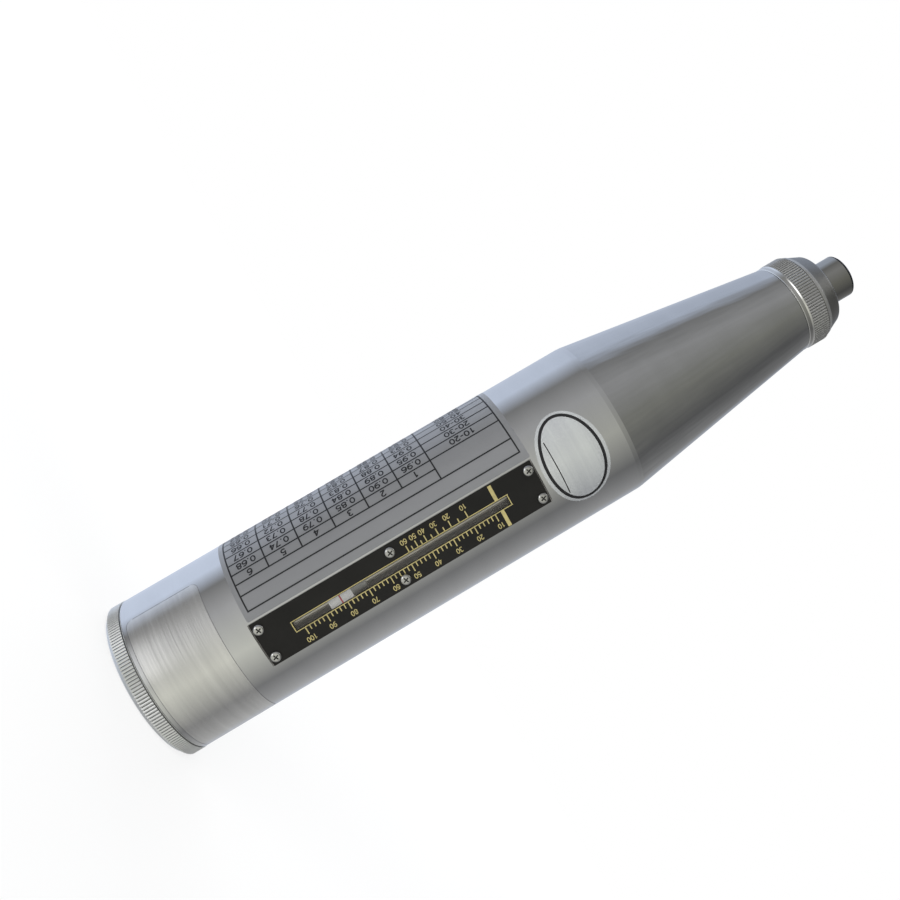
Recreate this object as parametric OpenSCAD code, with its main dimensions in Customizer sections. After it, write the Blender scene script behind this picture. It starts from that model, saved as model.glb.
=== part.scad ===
// Rebound hammer for testing hardened concrete.
// It stands on its rear cap: z = 0 is the cap's outer face and +Z runs along the axis to the
// plunger's tip. The scale plate faces -Y and the locking button is on +Y.
// The plunger is shown pushed in, with the hammer resting in front after a blow.

/* [Housing] */
// Diameter of the straight barrel
body_d = 54; // [52:0.5:60]
// Length of the straight barrel, from the rear cap to the taper
barrel_len = 165.5; // [160:0.5:180]
// Length of the taper
cone_len = 72.7; // [68:0.1:84]
// How far the taper's small end lies under the nose cap's rim
cone_end_step = 0.3; // [0:0.05:0.6]
// Thickness of the barrel's wall
barrel_wall = 6; // [5.5:0.1:6.5]
// Length of the narrow band between the barrel and the taper
crease_len = 1.5; // [0.5:0.1:3]
// How much the radius drops over that band
crease_drop = 0.12; // [0.05:0.01:0.3]
// Wall of the threaded spigot that takes the nose cap
spigot_wall = 1.7; // [1.5:0.1:2]
// Length of that spigot
spigot_len = 5.3; // [4.5:0.1:6.5]

/* [Rear cap] */
// Height of the knurled rim
cap_h = 6; // [5:0.1:9]
// How far the knurl stands proud of the barrel
cap_proud = 0.15; // [0:0.05:0.6]
// Height of the bevelled rear edge
cap_bevel_h = 1.4; // [0.6:0.1:2]
// Width of the bevelled rear edge
cap_bevel_w = 1.6; // [0.6:0.1:3]
// Plain lip between the knurl and the barrel
cap_lip = 0.5; // [0.3:0.1:1]
// Number of ribs in the cap's knurl
cap_ribs = 160; // [80:1:180]
// Thickness of the cap's floor
cap_floor = 4; // [3:0.1:5]
// Wall left in the barrel round the cap's spigot
cap_seat_wall = 3.5; // [3:0.1:4]
// Length of the cap's spigot in the barrel
cap_spigot_len = 9; // [6:0.5:14]
// Wall of the cap's spigot
cap_spigot_wall = 2.2; // [1.5:0.1:3]

/* [Nose cap] */
// Length of the nose cap
nose_len = 14.5; // [13.5:0.1:16]
// Wall of the nose cap round its thread
nose_thread_wall = 2.7; // [2.4:0.1:4]
// Length of the polished bead behind the knurl
nose_bead_len = 2.1; // [1.5:0.1:3]
// Length of the knurl
nose_knurl_len = 5.7; // [4:0.1:7]
// Number of ribs in the nose cap's knurl
nose_ribs = 100; // [50:1:120]
// Length of the bright bevel in front of the knurl
nose_bevel_len = 1.4; // [0.8:0.1:2]
// How far the nose cap tapers in to its front face
nose_taper = 2.6; // [2:0.1:3.2]
// Radius of the front face's edge
nose_edge_r = 0.9; // [0.4:0.1:1.5]
// Thickness of the nose cap's front wall
nose_wall = 3.4; // [2.5:0.1:4]

/* [Plunger] */
// Diameter of the plunger
plunger_d = 15; // [14:0.1:16]
// How far the plunger stands out of the nose cap when locked in
plunger_out = 10; // [6:0.5:20]
// Radius of the domed tip
tip_dome_r = 25; // [18:0.5:40]
// Bevel round the plunger's ends
plunger_bevel = 0.5; // [0.2:0.1:1]
// Depth of the bore that takes the guide bar
plunger_bore_len = 54; // [50:0.5:60]
// Stroke of the plunger and of the hammer
stroke = 75; // [70:0.5:76]

/* [Guide bar and flange] */
// Diameter of the guide bar
bar_d = 8; // [7:0.1:9]
// Length of the guide bar
bar_len = 166.5; // [164:0.5:168]
// Gap between the guide flange and the bore
flange_gap = 0.3; // [0.1:0.05:0.5]
// Thickness of the guide flange
flange_t = 8; // [7:0.1:9]
// Wall of the flange behind the guide bar
flange_floor = 2; // [1.5:0.1:3]
// Diameter of the cross pin that holds the bar
bar_pin_d = 2; // [1.5:0.1:2.5]
// Length of that cross pin
bar_pin_len = 14; // [12:0.5:16]
// Room between that cross pin and the pawl's slot
bar_pin_room = 1; // [0.5:0.1:2]

/* [Hammer] */
// Gap between the hammer and the bore
hammer_gap = 1.5; // [1:0.1:3]
// Length of the hammer's thick part
hammer_len = 37.5; // [35:0.5:39]
// How far the striking end stands out past the plunger
hammer_nose_step = 3.5; // [2.5:0.1:3.7]
// Length of the hammer's striking end
hammer_nose_len = 8; // [6:0.5:9]
// Diameter of the rim that the pawl catches, as a share of the bore
rim_share = 0.429; // [0.42:0.001:0.434]
// Thickness of that rim
rim_t = 3; // [2.5:0.1:3.4]
// How far that rim stands out from the neck behind it
rim_lip = 2; // [1.8:0.1:2.4]
// Length of that neck
rim_neck_len = 4; // [3.7:0.1:5]

/* [Springs] */
// Length of the return spring when closed, with its play
return_len = 27.5; // [27:0.1:30]
// Mean diameter of the return spring
return_d = 28.4; // [28:0.1:28.8]
// Wire of the return spring
return_wire = 1.4; // [1:0.1:1.5]
// Turns of the return spring
return_turns = 12; // [8:1:13]
// Relaxed length of the impact spring
impact_len = 61.5; // [58:0.5:63]
// Room between the impact spring and the striking end
impact_room = 1.4; // [1.1:0.1:1.6]
// Wire of the impact spring
impact_wire = 1.8; // [1.4:0.1:2]
// Turns of the impact spring
impact_turns = 18; // [12:1:22]
// Mean diameter of the cushion spring in the plunger
cushion_d = 6; // [5.6:0.1:6.4]
// Wire of the cushion spring
cushion_wire = 0.9; // [0.6:0.1:1]
// Turns of the cushion spring
cushion_turns = 10; // [6:1:12]

/* [Front sleeve] */
// Wall of the sleeve that guides the plunger
sleeve_wall = 4; // [3.7:0.1:4.2]
// How far the sleeve's collar stands out
sleeve_collar_step = 3.7; // [3:0.1:3.9]
// Thickness of the sleeve's collar
sleeve_collar_t = 4; // [3:0.1:5]
// Length of the sleeve's end inside the impact spring
sleeve_tail_len = 10; // [6:0.5:14]
// Thickness of the two-part lock ring
lock_ring_t = 2; // [1.5:0.1:2.4]
// Depth of the sleeve's groove for the lock ring
lock_groove = 1.5; // [1:0.1:2]
// Thickness of the felt seal
felt_t = 2.3; // [1.5:0.1:2.6]

/* [Pawl] */
// How far the pawl's pin lies outside the rim
pawl_from_rim = 0.5; // [0.3:0.1:0.7]
// Thickness of the pawl
pawl_t = 4; // [3:0.1:5]
// Diameter of the pawl's pin
pawl_pin_d = 3; // [2.5:0.1:3.4]
// Length of the pawl's pin
pawl_pin_len = 13; // [10:0.5:15]
// Diameter of the pawl's eye
pawl_eye_d = 6; // [5.4:0.1:6.4]
// Length of the pawl's hook
hook_len = 3; // [2.4:0.1:3.2]
// Room that the open hook leaves round the rim
hook_room = 0.4; // [0.3:0.05:0.6]
// How far the hook's nose reaches in from its arm
hook_reach = 1.6; // [1.4:0.1:1.8]
// Width of the hook's arm
hook_w = 2.8; // [2:0.1:3.2]
// Width of the tail that meets the trip screw
tail_w = 2.5; // [2:0.1:3]
// How far the tail reaches past the axis
tail_past = 2.2; // [1:0.1:4]

/* [Trip screw] */
// Diameter of the trip screw
trip_d = 5; // [4:0.1:6]
// Room between the trip screw and the pawl's tail
trip_room = 2.3; // [2:0.1:5]
// Width across flats of its lock nut
nut_af = 8; // [7:0.1:10]
// Height of its lock nut
nut_h = 4; // [3:0.1:5]
// Diameter of the boss that the screw sits in
boss_d = 12; // [10:0.1:14]
// Height of that boss above the cap's floor
boss_h = 4.5; // [3:0.1:6]

/* [Scale plate] */
// Width of the plate
plate_w = 15.35; // [14:0.05:17]
// Length of the plate
plate_len = 99.05; // [97:0.05:102]
// Thickness of the plate
plate_t = 0.6; // [0.4:0.05:1]
// Distance from the rear cap's outer face to the plate
plate_z = 41.2; // [40:0.1:46]
// Width of the window
window_w = 3; // [2.4:0.1:4]
// Length of the window
window_len = 76; // [74:0.5:78]
// Distance from the plate's rear end to the window
window_from = 11.5; // [10:0.1:12.5]
// Distance from the plate's rear end to the mark 100
mark_100 = 14.1; // [13:0.1:15]
// Reading that the rider shows
reading = 82; // [20:1:98]
// Width of the clear pane under the window
pane_w = 7.4; // [6:0.1:7.6]
// Thickness of the clear pane
pane_t = 1; // [0.6:0.1:1.2]
// How far the pane reaches past each end of the window
pane_lap = 2.4; // [1:0.1:3]
// Spacing of the plate's screws across the plate
screw_across = 10.1; // [9.8:0.05:11]
// Distance of the end screws from the plate's ends
screw_from_end = 1.95; // [1.8:0.05:2.5]
// Diameter of the screws' heads
screw_head_d = 3.5; // [3:0.1:3.6]
// Height of the screws' heads
screw_head_h = 1.1; // [0.8:0.1:1.5]
// Diameter of the screws' shanks
screw_d = 1.8; // [1.4:0.1:2]
// Depth of the screws in the housing
screw_len = 3; // [2:0.1:3.4]

/* [Rider] */
// Width of the rider
rider_w = 5.4; // [4:0.1:5.6]
// Length of the rider behind its index line
rider_behind = 4; // [3:0.1:4.2]
// Length of the rider in front of its index line
rider_ahead = 9.1; // [6:0.1:9.2]
// Length of the white index plate in front of its line
index_ahead = 4; // [3:0.1:5]
// Thickness of the white index plate
index_t = 0.6; // [0.4:0.1:0.7]
// Diameter of the rider's rod
rod_d = 2; // [1.5:0.1:2.1]
// Length of the rider's rod
rod_len = 127.5; // [126:0.5:128]
// Width of the rider's leaf
leaf_w = 3; // [2:0.1:3.2]
// Thickness of the rider's leaf
leaf_t = 0.4; // [0.3:0.05:0.5]
// Distance from the index line back to the leaf's tab
leaf_back = 8.3; // [7.8:0.1:9]
// Height of the leaf's tab
leaf_tab = 5; // [4:0.1:5.2]

/* [Button] */
// Diameter of the button's head
button_d = 7; // [6:0.1:7.4]
// Diameter of the button's collar
button_collar_d = 8.4; // [8:0.1:8.4]
// Height of the button's collar
button_collar_h = 1.2; // [0.8:0.1:1.4]
// How far the head stands out of its bush
button_out = 3.5; // [3:0.1:5]
// Diameter of the locking pin
lock_pin_d = 3.8; // [3:0.1:3.9]
// Outer diameter of the button's bush
bush_d = 16; // [14:0.1:18]
// Height of the bush above its seat
bush_h = 4.2; // [4:0.1:5]
// Diameter of the bush's neck in the housing
bush_neck_d = 11; // [10.6:0.1:12]
// Bore of the bush
bush_bore_d = 8.6; // [8.5:0.1:9]
// Lip at the mouth of the bush
bush_lip = 0.8; // [0.6:0.1:1]
// Floor of the bush
bush_floor = 1.2; // [0.8:0.1:1.4]
// Wire of the button's spring
button_wire = 0.6; // [0.4:0.1:0.6]
// Turns of the button's spring
button_turns = 3; // [2:1:3]

/* [Hidden] */

// Facets of a round face in the preview
fine = 96;
// Steps in a small rounded edge
edge_steps = 6;
// Overrun of every cut
overrun = 1;
// Radial clearance of a running fit
run_fit = 0.05;
// Radial clearance of a fixed fit
slip_fit = 0.03;
// Clearance of parts that pass each other
pass_gap = 0.3;
// Rest gap between a spring and its seat
seat_gap = 0.25;
// Gap between two faces that strike each other
strike_gap = 0.5;
// Seam between the housing and its end caps
seam = 0.2;
// Depth of a knurl
knurl_depth = 0.35;
// How far the plain bands beside a knurl lie under its tips
knurl_land = 0.45;
// How far a knurl's core lies under its roots
knurl_core = 0.3;
// Rings in one turn of a spring, and sides of its wire
coil_rings = 8;
coil_sides = 6;

body_r = body_d / 2;
bore_d = body_d - 2 * barrel_wall;
bore_r = bore_d / 2;
cap_spigot_d = body_d - 2 * cap_seat_wall;
flange_d = bore_d - 2 * flange_gap;
hammer_d = bore_d - 2 * hammer_gap;
rim_d = bore_d * rim_share;
rim_neck_d = rim_d - 2 * rim_lip;
cap_r = body_r + cap_proud;
// The front is sized outwards from the plunger: sleeve, spigot, nose cap, taper
sleeve_d = plunger_d + 2 * sleeve_wall;
sleeve_collar_d = sleeve_d + 2 * sleeve_collar_step;
spigot_d = sleeve_d + 2 * spigot_wall;
nose_d = spigot_d + 2 * nose_thread_wall;
nose_face_d = nose_d - 2 * nose_taper;
cone_end_d = nose_d - 2 * cone_end_step;
hammer_nose_d = plunger_d + 2 * hammer_nose_step;
impact_d = hammer_nose_d + 2 * impact_room + impact_wire;
barrel_end_z = cap_h + barrel_len;
cone_end_z = barrel_end_z + cone_len;
spigot_end_z = cone_end_z + spigot_len;
nose_z = cone_end_z + seam;
nose_face_z = nose_z + nose_len;
tip_edge_z = nose_face_z + plunger_out;

// The moving stack is placed from the rear: cap floor, return spring, flange, stroke, hammer, plunger
flange_z = cap_floor + return_len;
flange_face_z = flange_z + flange_t;
rim_gap = 1;
rim_z = flange_face_z + stroke + rim_gap;
hammer_neck_z = rim_z + rim_t;
hammer_z = hammer_neck_z + rim_neck_len;
hammer_shoulder_z = hammer_z + hammer_len;
hammer_face_z = hammer_shoulder_z + hammer_nose_len;
anvil_z = hammer_face_z + strike_gap;
bar_z = flange_z + flange_floor;
bar_end_z = bar_z + bar_len;
plunger_bore_end_z = anvil_z + plunger_bore_len;
impact_z = hammer_shoulder_z + seat_gap;
collar_z = impact_z + impact_len + seat_gap;
collar_front_z = collar_z + sleeve_collar_t;
ring_z = spigot_end_z + slip_fit;
felt_z = nose_face_z - nose_wall - felt_t - slip_fit;
sleeve_end_z = felt_z - slip_fit;

// Scale plate, pane and rider channel, counted out from the axis along -Y
plate_margin = 0.1;
flat_y = sqrt(body_r * body_r - pow(plate_w / 2 + plate_margin, 2));
flat_end = 0.45;
pane_y = flat_y - pane_t;
index_y = pane_y - pass_gap + slip_fit;
carriage_top_y = index_y - index_t;
carriage_base_y = bore_r + slip_fit;
rider_rod_y = (carriage_top_y + carriage_base_y) / 2;
divisions = 100;
division = stroke / divisions;
first_z = plate_z + mark_100;
index_z = first_z + (divisions - reading) * division;
last_z = first_z + stroke;
channel_z = first_z - rider_behind - 2 * pass_gap;
channel_end_z = last_z + rider_ahead + pass_gap;
channel_w = rider_w + 2 * pass_gap;
window_z = plate_z + window_from;
rod_hole_z = cap_h + cap_spigot_len;
rod_z = rod_hole_z + pass_gap;
leaf_y = carriage_base_y;
screw_zs = [plate_z + screw_from_end, plate_z + plate_len / 2, plate_z + plate_len - screw_from_end];
// The middle pair of screws sits a little behind the plate's middle
screw_mid_shift = -1.75;
// Rounded share of a screw head's height, and length of its recess as a share of its diameter
crown_share = 0.7;
recess_share = 0.55;

// Button, counted out from the axis along +Y
button_z = flange_z + flange_t / 2;
spot_gap = 0.2;
bush_seat_y = sqrt(body_r * body_r - pow(bush_d / 2 + spot_gap, 2)) - spot_gap;
bush_top_y = bush_seat_y + bush_h;
bush_end_y = bore_r + pass_gap + spot_gap;
bush_floor_y = bush_end_y + bush_floor;
collar_top_y = bush_top_y - bush_lip - spot_gap;
collar_base_y = collar_top_y - button_collar_h;
button_top_y = bush_top_y + button_out;
lock_hole_depth = 5;

// Pawl, drawn open: its hook clears the hammer's rim
pawl_x = rim_d / 2 + pawl_from_rim;
pawl_z = flange_z + flange_t / 2;
hook_z = flange_face_z + rim_gap + rim_t + hook_room;
hook_x = rim_d / 2 + hook_room;
hook_arm_x = hook_x + hook_reach;
tail_gap = 0.7;
tail_z = flange_z - tail_gap - tail_w;
trip_z = cap_floor / 2 + slip_fit;
trip_len = tail_z - trip_room - trip_z;
pawl_slot_x = pawl_x - pawl_eye_d / 2 - pass_gap;
bar_pin_end = pawl_slot_x - bar_pin_room;
pawl_slot_end = hook_arm_x + hook_w + 2 * pass_gap;
tail_arm_w = 3;
// Height of the pawl's spring above its pin, as a share of the flange's thickness
pawl_spring_share = 0.23;
pawl_spring_z = pawl_z + flange_t * pawl_spring_share;
pawl_spring_d = 2.2;
pawl_spring_wire = 0.4;
pawl_spring_pitch = 0.9;
pawl_pocket_wall = 1.7;
pawl_spring_len = flange_d / 2 - pawl_slot_end - pawl_pocket_wall;
pawl_spring_turns = max(1, floor(pawl_spring_len / pawl_spring_pitch));
pawl_pocket_d = 3.2;

function arc(cx, cy, r, a0, a1, n) =
    [for (i = [0 : n]) let (a = a0 + (a1 - a0) * i / n) [cx + r * cos(a), cy + r * sin(a)]];

function knurl(r, ribs) =
    [for (i = [0 : 2 * ribs - 1])
        let (a = 180 * i / ribs, reach = i % 2 == 0 ? r : r - knurl_depth)
        [reach * cos(a), reach * sin(a)]];

function coil(d, wire, turns, length) =
    let (last = turns * coil_rings, climb = (length - wire) / last)
    [for (i = [0 : last])
        let (a = 360 * i / coil_rings, z = wire / 2 + climb * i)
        for (k = [0 : coil_sides - 1])
            let (b = 360 * k / coil_sides, reach = d / 2 + wire / 2 * cos(b))
            [reach * cos(a), reach * sin(a), z + wire / 2 * sin(b)]];

function coil_gap(points) =
    let (turn = coil_rings * coil_sides)
    min([for (i = [0 : len(points) - turn - 1])
        let (ring = floor(i / coil_sides) * coil_sides + turn)
        for (k = [0 : coil_sides - 1])
            norm(points[i] - points[ring + k])]);

module spring(d, wire, turns, length) {
    points = coil(d, wire, turns, length);
    echo(least_gap_between_turns = coil_gap(points));
    last = turns * coil_rings;
    sides = [for (i = [0 : last - 1]) for (k = [0 : coil_sides - 1])
        let (n = (k + 1) % coil_sides, a = i * coil_sides, b = a + coil_sides)
        each [[a + k, a + n, b + n], [a + k, b + n, b + k]]];
    end = last * coil_sides;
    caps = [for (k = [1 : coil_sides - 2]) each [[0, k + 1, k], [end, end + k, end + k + 1]]];
    polyhedron(points, concat(sides, caps));
}

module turned(profile) {
    rotate_extrude($fn = fine)
        polygon(profile);
}

module rod(d, z, length) {
    translate([0, 0, z])
        cylinder(d = d, h = length, $fn = fine);
}

module ring(d_out, d_in, z, length) {
    difference() {
        rod(d_out, z, length);
        rod(d_in, z - overrun, length + 2 * overrun);
    }
}

// A straight knurl round a core
module knurl_band(r, ribs, core_r, z, length) {
    translate([0, 0, z])
        linear_extrude(length)
            difference() {
                polygon(knurl(r, ribs));
                circle(r = core_r, $fn = fine);
            }
}

// A round rod along +Y that starts at y, at height z
module rod_y(d, y, length, z) {
    translate([0, y, z])
        rotate([-90, 0, 0])
            cylinder(d = d, h = length, $fn = fine);
}

// A round rod along +X that starts at x, at height z
module rod_x(d, x, length, z) {
    translate([x, 0, z])
        rotate([0, 90, 0])
            cylinder(d = d, h = length, $fn = fine);
}

// A block on the -Y side, centred on x = 0, between two distances from the axis
module plate_block(w, y_in, y_out, z, length) {
    translate([-w / 2, -y_out, z])
        cube([w, y_out - y_in, length]);
}

module at_plate_screws() {
    for (i = [0 : len(screw_zs) - 1])
        for (side = [-1, 1])
            translate([side * screw_across / 2, 0, screw_zs[i] + (i == 1 ? screw_mid_shift : 0)])
                children();
}

module housing() {
    cap_bore_r = cap_spigot_d / 2 + slip_fit;
    cap_bore_z = cap_h + cap_spigot_len + slip_fit;
    sleeve_r = sleeve_d / 2 + slip_fit;
    collar_r = sleeve_collar_d / 2 + slip_fit;
    color("silver")
        difference() {
            turned([
                [cap_bore_r, cap_h],
                [body_r, cap_h],
                [body_r, barrel_end_z - crease_len],
                [body_r - crease_drop, barrel_end_z],
                [cone_end_d / 2, cone_end_z],
                [spigot_d / 2, cone_end_z],
                [spigot_d / 2, spigot_end_z],
                [sleeve_r, spigot_end_z],
                [sleeve_r, collar_front_z + slip_fit],
                [collar_r, collar_front_z + slip_fit],
                [collar_r, collar_z],
                [bore_r, barrel_end_z],
                [bore_r, cap_bore_z],
                [cap_bore_r, cap_bore_z]
            ]);
            // flat for the plate, with a wall at each end
            plate_block(body_d, flat_y, body_r + overrun, plate_z - flat_end, plate_len + 2 * flat_end);
            // seat of the pane
            plate_block(
                pane_w + 2 * slip_fit, pane_y, flat_y + overrun,
                window_z - pane_lap - slip_fit, window_len + 2 * (pane_lap + slip_fit)
            );
            // channel of the rider
            plate_block(channel_w, 0, flat_y + overrun, channel_z, channel_end_z - channel_z);
            // shallow run for the rider's leaf behind the channel
            plate_block(leaf_w + 4 * pass_gap, 0, leaf_y + pass_gap, first_z - leaf_back - pass_gap, leaf_back);
            translate([0, -rider_rod_y, 0])
                rod(rod_d + 2 * slip_fit, rod_hole_z, rod_z + rod_len + slip_fit - rod_hole_z);
            at_plate_screws()
                rod_y(screw_d + 2 * slip_fit, -body_r - overrun, body_r + overrun - flat_y + screw_len, 0);
            // seat and hole of the button's bush
            rod_y(bush_d + 2 * spot_gap, bush_seat_y, body_r, button_z);
            rod_y(bush_neck_d + 2 * slip_fit, 0, body_r, button_z);
        }
}

module rear_cap() {
    face_r = cap_r - cap_bevel_w;
    core_r = cap_r - knurl_depth - knurl_core;
    spigot_r = cap_spigot_d / 2;
    spigot_in_r = spigot_r - cap_spigot_wall;
    rim_z_end = cap_h - seam;
    knurl_end = rim_z_end - cap_lip;
    color("gainsboro")
        difference() {
            union() {
                turned([
                    [0, 0],
                    [face_r, 0],
                    [cap_r - knurl_land, cap_bevel_h],
                    [core_r, cap_bevel_h],
                    [core_r, knurl_end],
                    [cap_r - knurl_land, knurl_end],
                    [cap_r - knurl_land, rim_z_end],
                    [spigot_r, rim_z_end],
                    [spigot_r, cap_h + cap_spigot_len],
                    [spigot_in_r, cap_h + cap_spigot_len],
                    [spigot_in_r, cap_floor],
                    [boss_d / 2, cap_floor],
                    [boss_d / 2, cap_floor + boss_h],
                    [0, cap_floor + boss_h]
                ]);
                knurl_band(cap_r, cap_ribs, (core_r + spigot_in_r) / 2, cap_bevel_h, knurl_end - cap_bevel_h);
            }
            rod(trip_d + 2 * slip_fit, cap_floor / 2, cap_floor + boss_h);
        }
}

module trip_screw() {
    slot_w = trip_d / 5;
    slot_depth = trip_d / 4;
    color("slategray")
        difference() {
            rod(trip_d, trip_z, trip_len);
            translate([-trip_d, -slot_w / 2, trip_z + trip_len - slot_depth])
                cube([2 * trip_d, slot_w, slot_depth + overrun]);
        }
}

module trip_nut() {
    color("darkgray")
        difference() {
            translate([0, 0, cap_floor + boss_h])
                cylinder(d = nut_af / cos(30), h = nut_h, $fn = 6);
            rod(trip_d + 2 * slip_fit, cap_floor, boss_h + nut_h + overrun);
        }
}

module return_spring() {
    color("dimgray")
        translate([0, 0, cap_floor + seat_gap])
            spring(return_d, return_wire, return_turns, return_len - 2 * seat_gap);
}

module guide_flange() {
    slot_w = pawl_t + 2 * pass_gap;
    notch_w = leaf_w + 4 * pass_gap;
    notch_y = leaf_y - leaf_tab - leaf_t - 2 * pass_gap;
    color("lightsteelblue")
        difference() {
            rod(flange_d, flange_z, flange_t);
            rod(bar_d + 2 * slip_fit, bar_z, flange_t);
            rod_x(bar_pin_d + 2 * slip_fit, -flange_d, flange_d + bar_pin_end + slip_fit, button_z);
            // slot of the pawl and hole of its pin
            translate([pawl_slot_x, -slot_w / 2, flange_z - overrun])
                cube([pawl_slot_end - pawl_slot_x, slot_w, flange_t + 2 * overrun]);
            translate([pawl_x, 0, 0])
                rod_y(pawl_pin_d + 2 * slip_fit, -flange_d, 2 * flange_d, pawl_z);
            // pocket of the pawl's spring
            rod_x(pawl_pocket_d, pawl_slot_end - overrun, pawl_spring_len + overrun, pawl_spring_z);
            // notch that lets the rider's leaf pass, and hole for the locking pin
            plate_block(notch_w, notch_y, flange_d, flange_z - overrun, flange_t + 2 * overrun);
            rod_y(lock_pin_d + 4 * pass_gap, flange_d / 2 - lock_hole_depth, flange_d, button_z);
        }
}

module guide_bar() {
    color("lightgray")
        difference() {
            turned([
                [0, bar_z],
                [bar_d / 2, bar_z],
                [bar_d / 2, bar_end_z - plunger_bevel],
                [bar_d / 2 - plunger_bevel, bar_end_z],
                [0, bar_end_z]
            ]);
            rod_x(bar_pin_d + 2 * slip_fit, -bar_d, 2 * bar_d, button_z);
        }
}

module bar_pin() {
    color("dimgray")
        rod_x(bar_pin_d, bar_pin_end - bar_pin_len, bar_pin_len, button_z);
}

module pawl() {
    arm_end_x = hook_arm_x + hook_w;
    tail_x = pawl_x - tail_arm_w / 2;
    color("slategray")
        difference() {
            translate([0, pawl_t / 2, 0])
                rotate([90, 0, 0])
                    linear_extrude(pawl_t)
                        union() {
                            translate([pawl_x, pawl_z])
                                circle(d = pawl_eye_d, $fn = fine);
                            polygon([
                                [pawl_x, pawl_z - pawl_eye_d / 4],
                                [pawl_x + pawl_eye_d / 3, pawl_z - pawl_eye_d / 4],
                                [arm_end_x, pawl_z + pawl_eye_d / 4],
                                [arm_end_x, hook_z + hook_len],
                                [hook_x, hook_z + hook_len],
                                [hook_x, hook_z],
                                [hook_arm_x, hook_z],
                                [hook_arm_x, pawl_z + pawl_eye_d / 2],
                                [pawl_x - pawl_eye_d / 4, pawl_z + pawl_eye_d / 4]
                            ]);
                            polygon([
                                [-tail_past, tail_z],
                                [tail_x + tail_arm_w, tail_z],
                                [tail_x + tail_arm_w, pawl_z],
                                [tail_x, pawl_z],
                                [tail_x, tail_z + tail_w],
                                [-tail_past, tail_z + tail_w]
                            ]);
                        }
            translate([pawl_x, 0, 0])
                rod_y(pawl_pin_d + 2 * run_fit, -pawl_t, 2 * pawl_t, pawl_z);
        }
}

module pawl_pin() {
    color("gray")
        translate([pawl_x, 0, 0])
            rod_y(pawl_pin_d, -pawl_pin_len / 2, pawl_pin_len, pawl_z);
}

module pawl_spring() {
    color("dimgray")
        translate([pawl_slot_end - pass_gap, 0, pawl_spring_z])
            rotate([0, 90, 0])
                spring(pawl_spring_d, pawl_spring_wire, pawl_spring_turns, pawl_spring_len);
}

module hammer() {
    bore = bar_d / 2 + run_fit;
    bevel = plunger_bevel;
    color("lightslategray")
        turned([
            [bore, rim_z],
            [rim_d / 2 - bevel, rim_z],
            [rim_d / 2, rim_z + bevel],
            [rim_d / 2, hammer_neck_z],
            [rim_neck_d / 2, hammer_neck_z],
            [rim_neck_d / 2, hammer_z],
            [hammer_d / 2 - bevel, hammer_z],
            [hammer_d / 2, hammer_z + bevel],
            [hammer_d / 2, hammer_shoulder_z - bevel],
            [hammer_d / 2 - bevel, hammer_shoulder_z],
            [hammer_nose_d / 2, hammer_shoulder_z],
            [hammer_nose_d / 2, hammer_face_z - bevel],
            [hammer_nose_d / 2 - bevel, hammer_face_z],
            [bore, hammer_face_z]
        ]);
}

module impact_spring() {
    color("dimgray")
        translate([0, 0, impact_z])
            spring(impact_d, impact_wire, impact_turns, impact_len);
}

module spring_seat() {
    bore = plunger_d / 2 + run_fit;
    tail_r = hammer_nose_d / 2;
    groove_r = sleeve_d / 2 - lock_groove;
    color("tan")
        turned([
            [bore, collar_z - sleeve_tail_len],
            [tail_r, collar_z - sleeve_tail_len],
            [tail_r, collar_z],
            [sleeve_collar_d / 2, collar_z],
            [sleeve_collar_d / 2, collar_front_z],
            [sleeve_d / 2, collar_front_z],
            [sleeve_d / 2, spigot_end_z],
            [groove_r, spigot_end_z],
            [groove_r, ring_z + lock_ring_t + slip_fit],
            [sleeve_d / 2, ring_z + lock_ring_t + slip_fit],
            [sleeve_d / 2, sleeve_end_z],
            [bore, sleeve_end_z]
        ]);
}

module lock_ring() {
    inner_d = sleeve_d - 2 * lock_groove + 2 * slip_fit;
    outer_d = spigot_d - 2 * pass_gap;
    color("burlywood")
        difference() {
            ring(outer_d, inner_d, ring_z, lock_ring_t);
            translate([-outer_d, -seam, ring_z - overrun])
                cube([2 * outer_d, 2 * seam, lock_ring_t + 2 * overrun]);
        }
}

module felt_seal() {
    color("darkolivegreen")
        ring(spigot_d - 2 * pass_gap, plunger_d + 4 * run_fit, felt_z, felt_t);
}

module nose_cap() {
    r = nose_d / 2;
    core_r = r - knurl_depth - knurl_core;
    bead_r = nose_bead_len / 2;
    bead_sweep = 75;
    knurl_z = nose_z + nose_bead_len;
    knurl_end = knurl_z + nose_knurl_len;
    bevel_end = knurl_end + nose_bevel_len;
    bevel_r = r - knurl_land - nose_bevel_len / 2;
    thread_r = spigot_d / 2 + slip_fit;
    bore = plunger_d / 2 + 2 * run_fit;
    color("darkgray")
        union() {
            turned(concat(
                [[thread_r, nose_z], [r - bead_r, nose_z]],
                arc(r - bead_r, nose_z + bead_r, bead_r, -bead_sweep, bead_sweep, edge_steps),
                [
                    [core_r, knurl_z],
                    [core_r, knurl_end],
                    [r - knurl_land, knurl_end],
                    [bevel_r, bevel_end],
                    [nose_face_d / 2, nose_face_z - nose_edge_r]
                ],
                arc(
                    nose_face_d / 2 - nose_edge_r, nose_face_z - nose_edge_r, nose_edge_r,
                    90 / edge_steps, 90, edge_steps - 1
                ),
                [
                    [bore, nose_face_z],
                    [bore, nose_face_z - nose_wall],
                    [thread_r, nose_face_z - nose_wall]
                ]
            ));
            knurl_band(r, nose_ribs, (core_r + thread_r) / 2, knurl_z, nose_knurl_len);
        }
}

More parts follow.
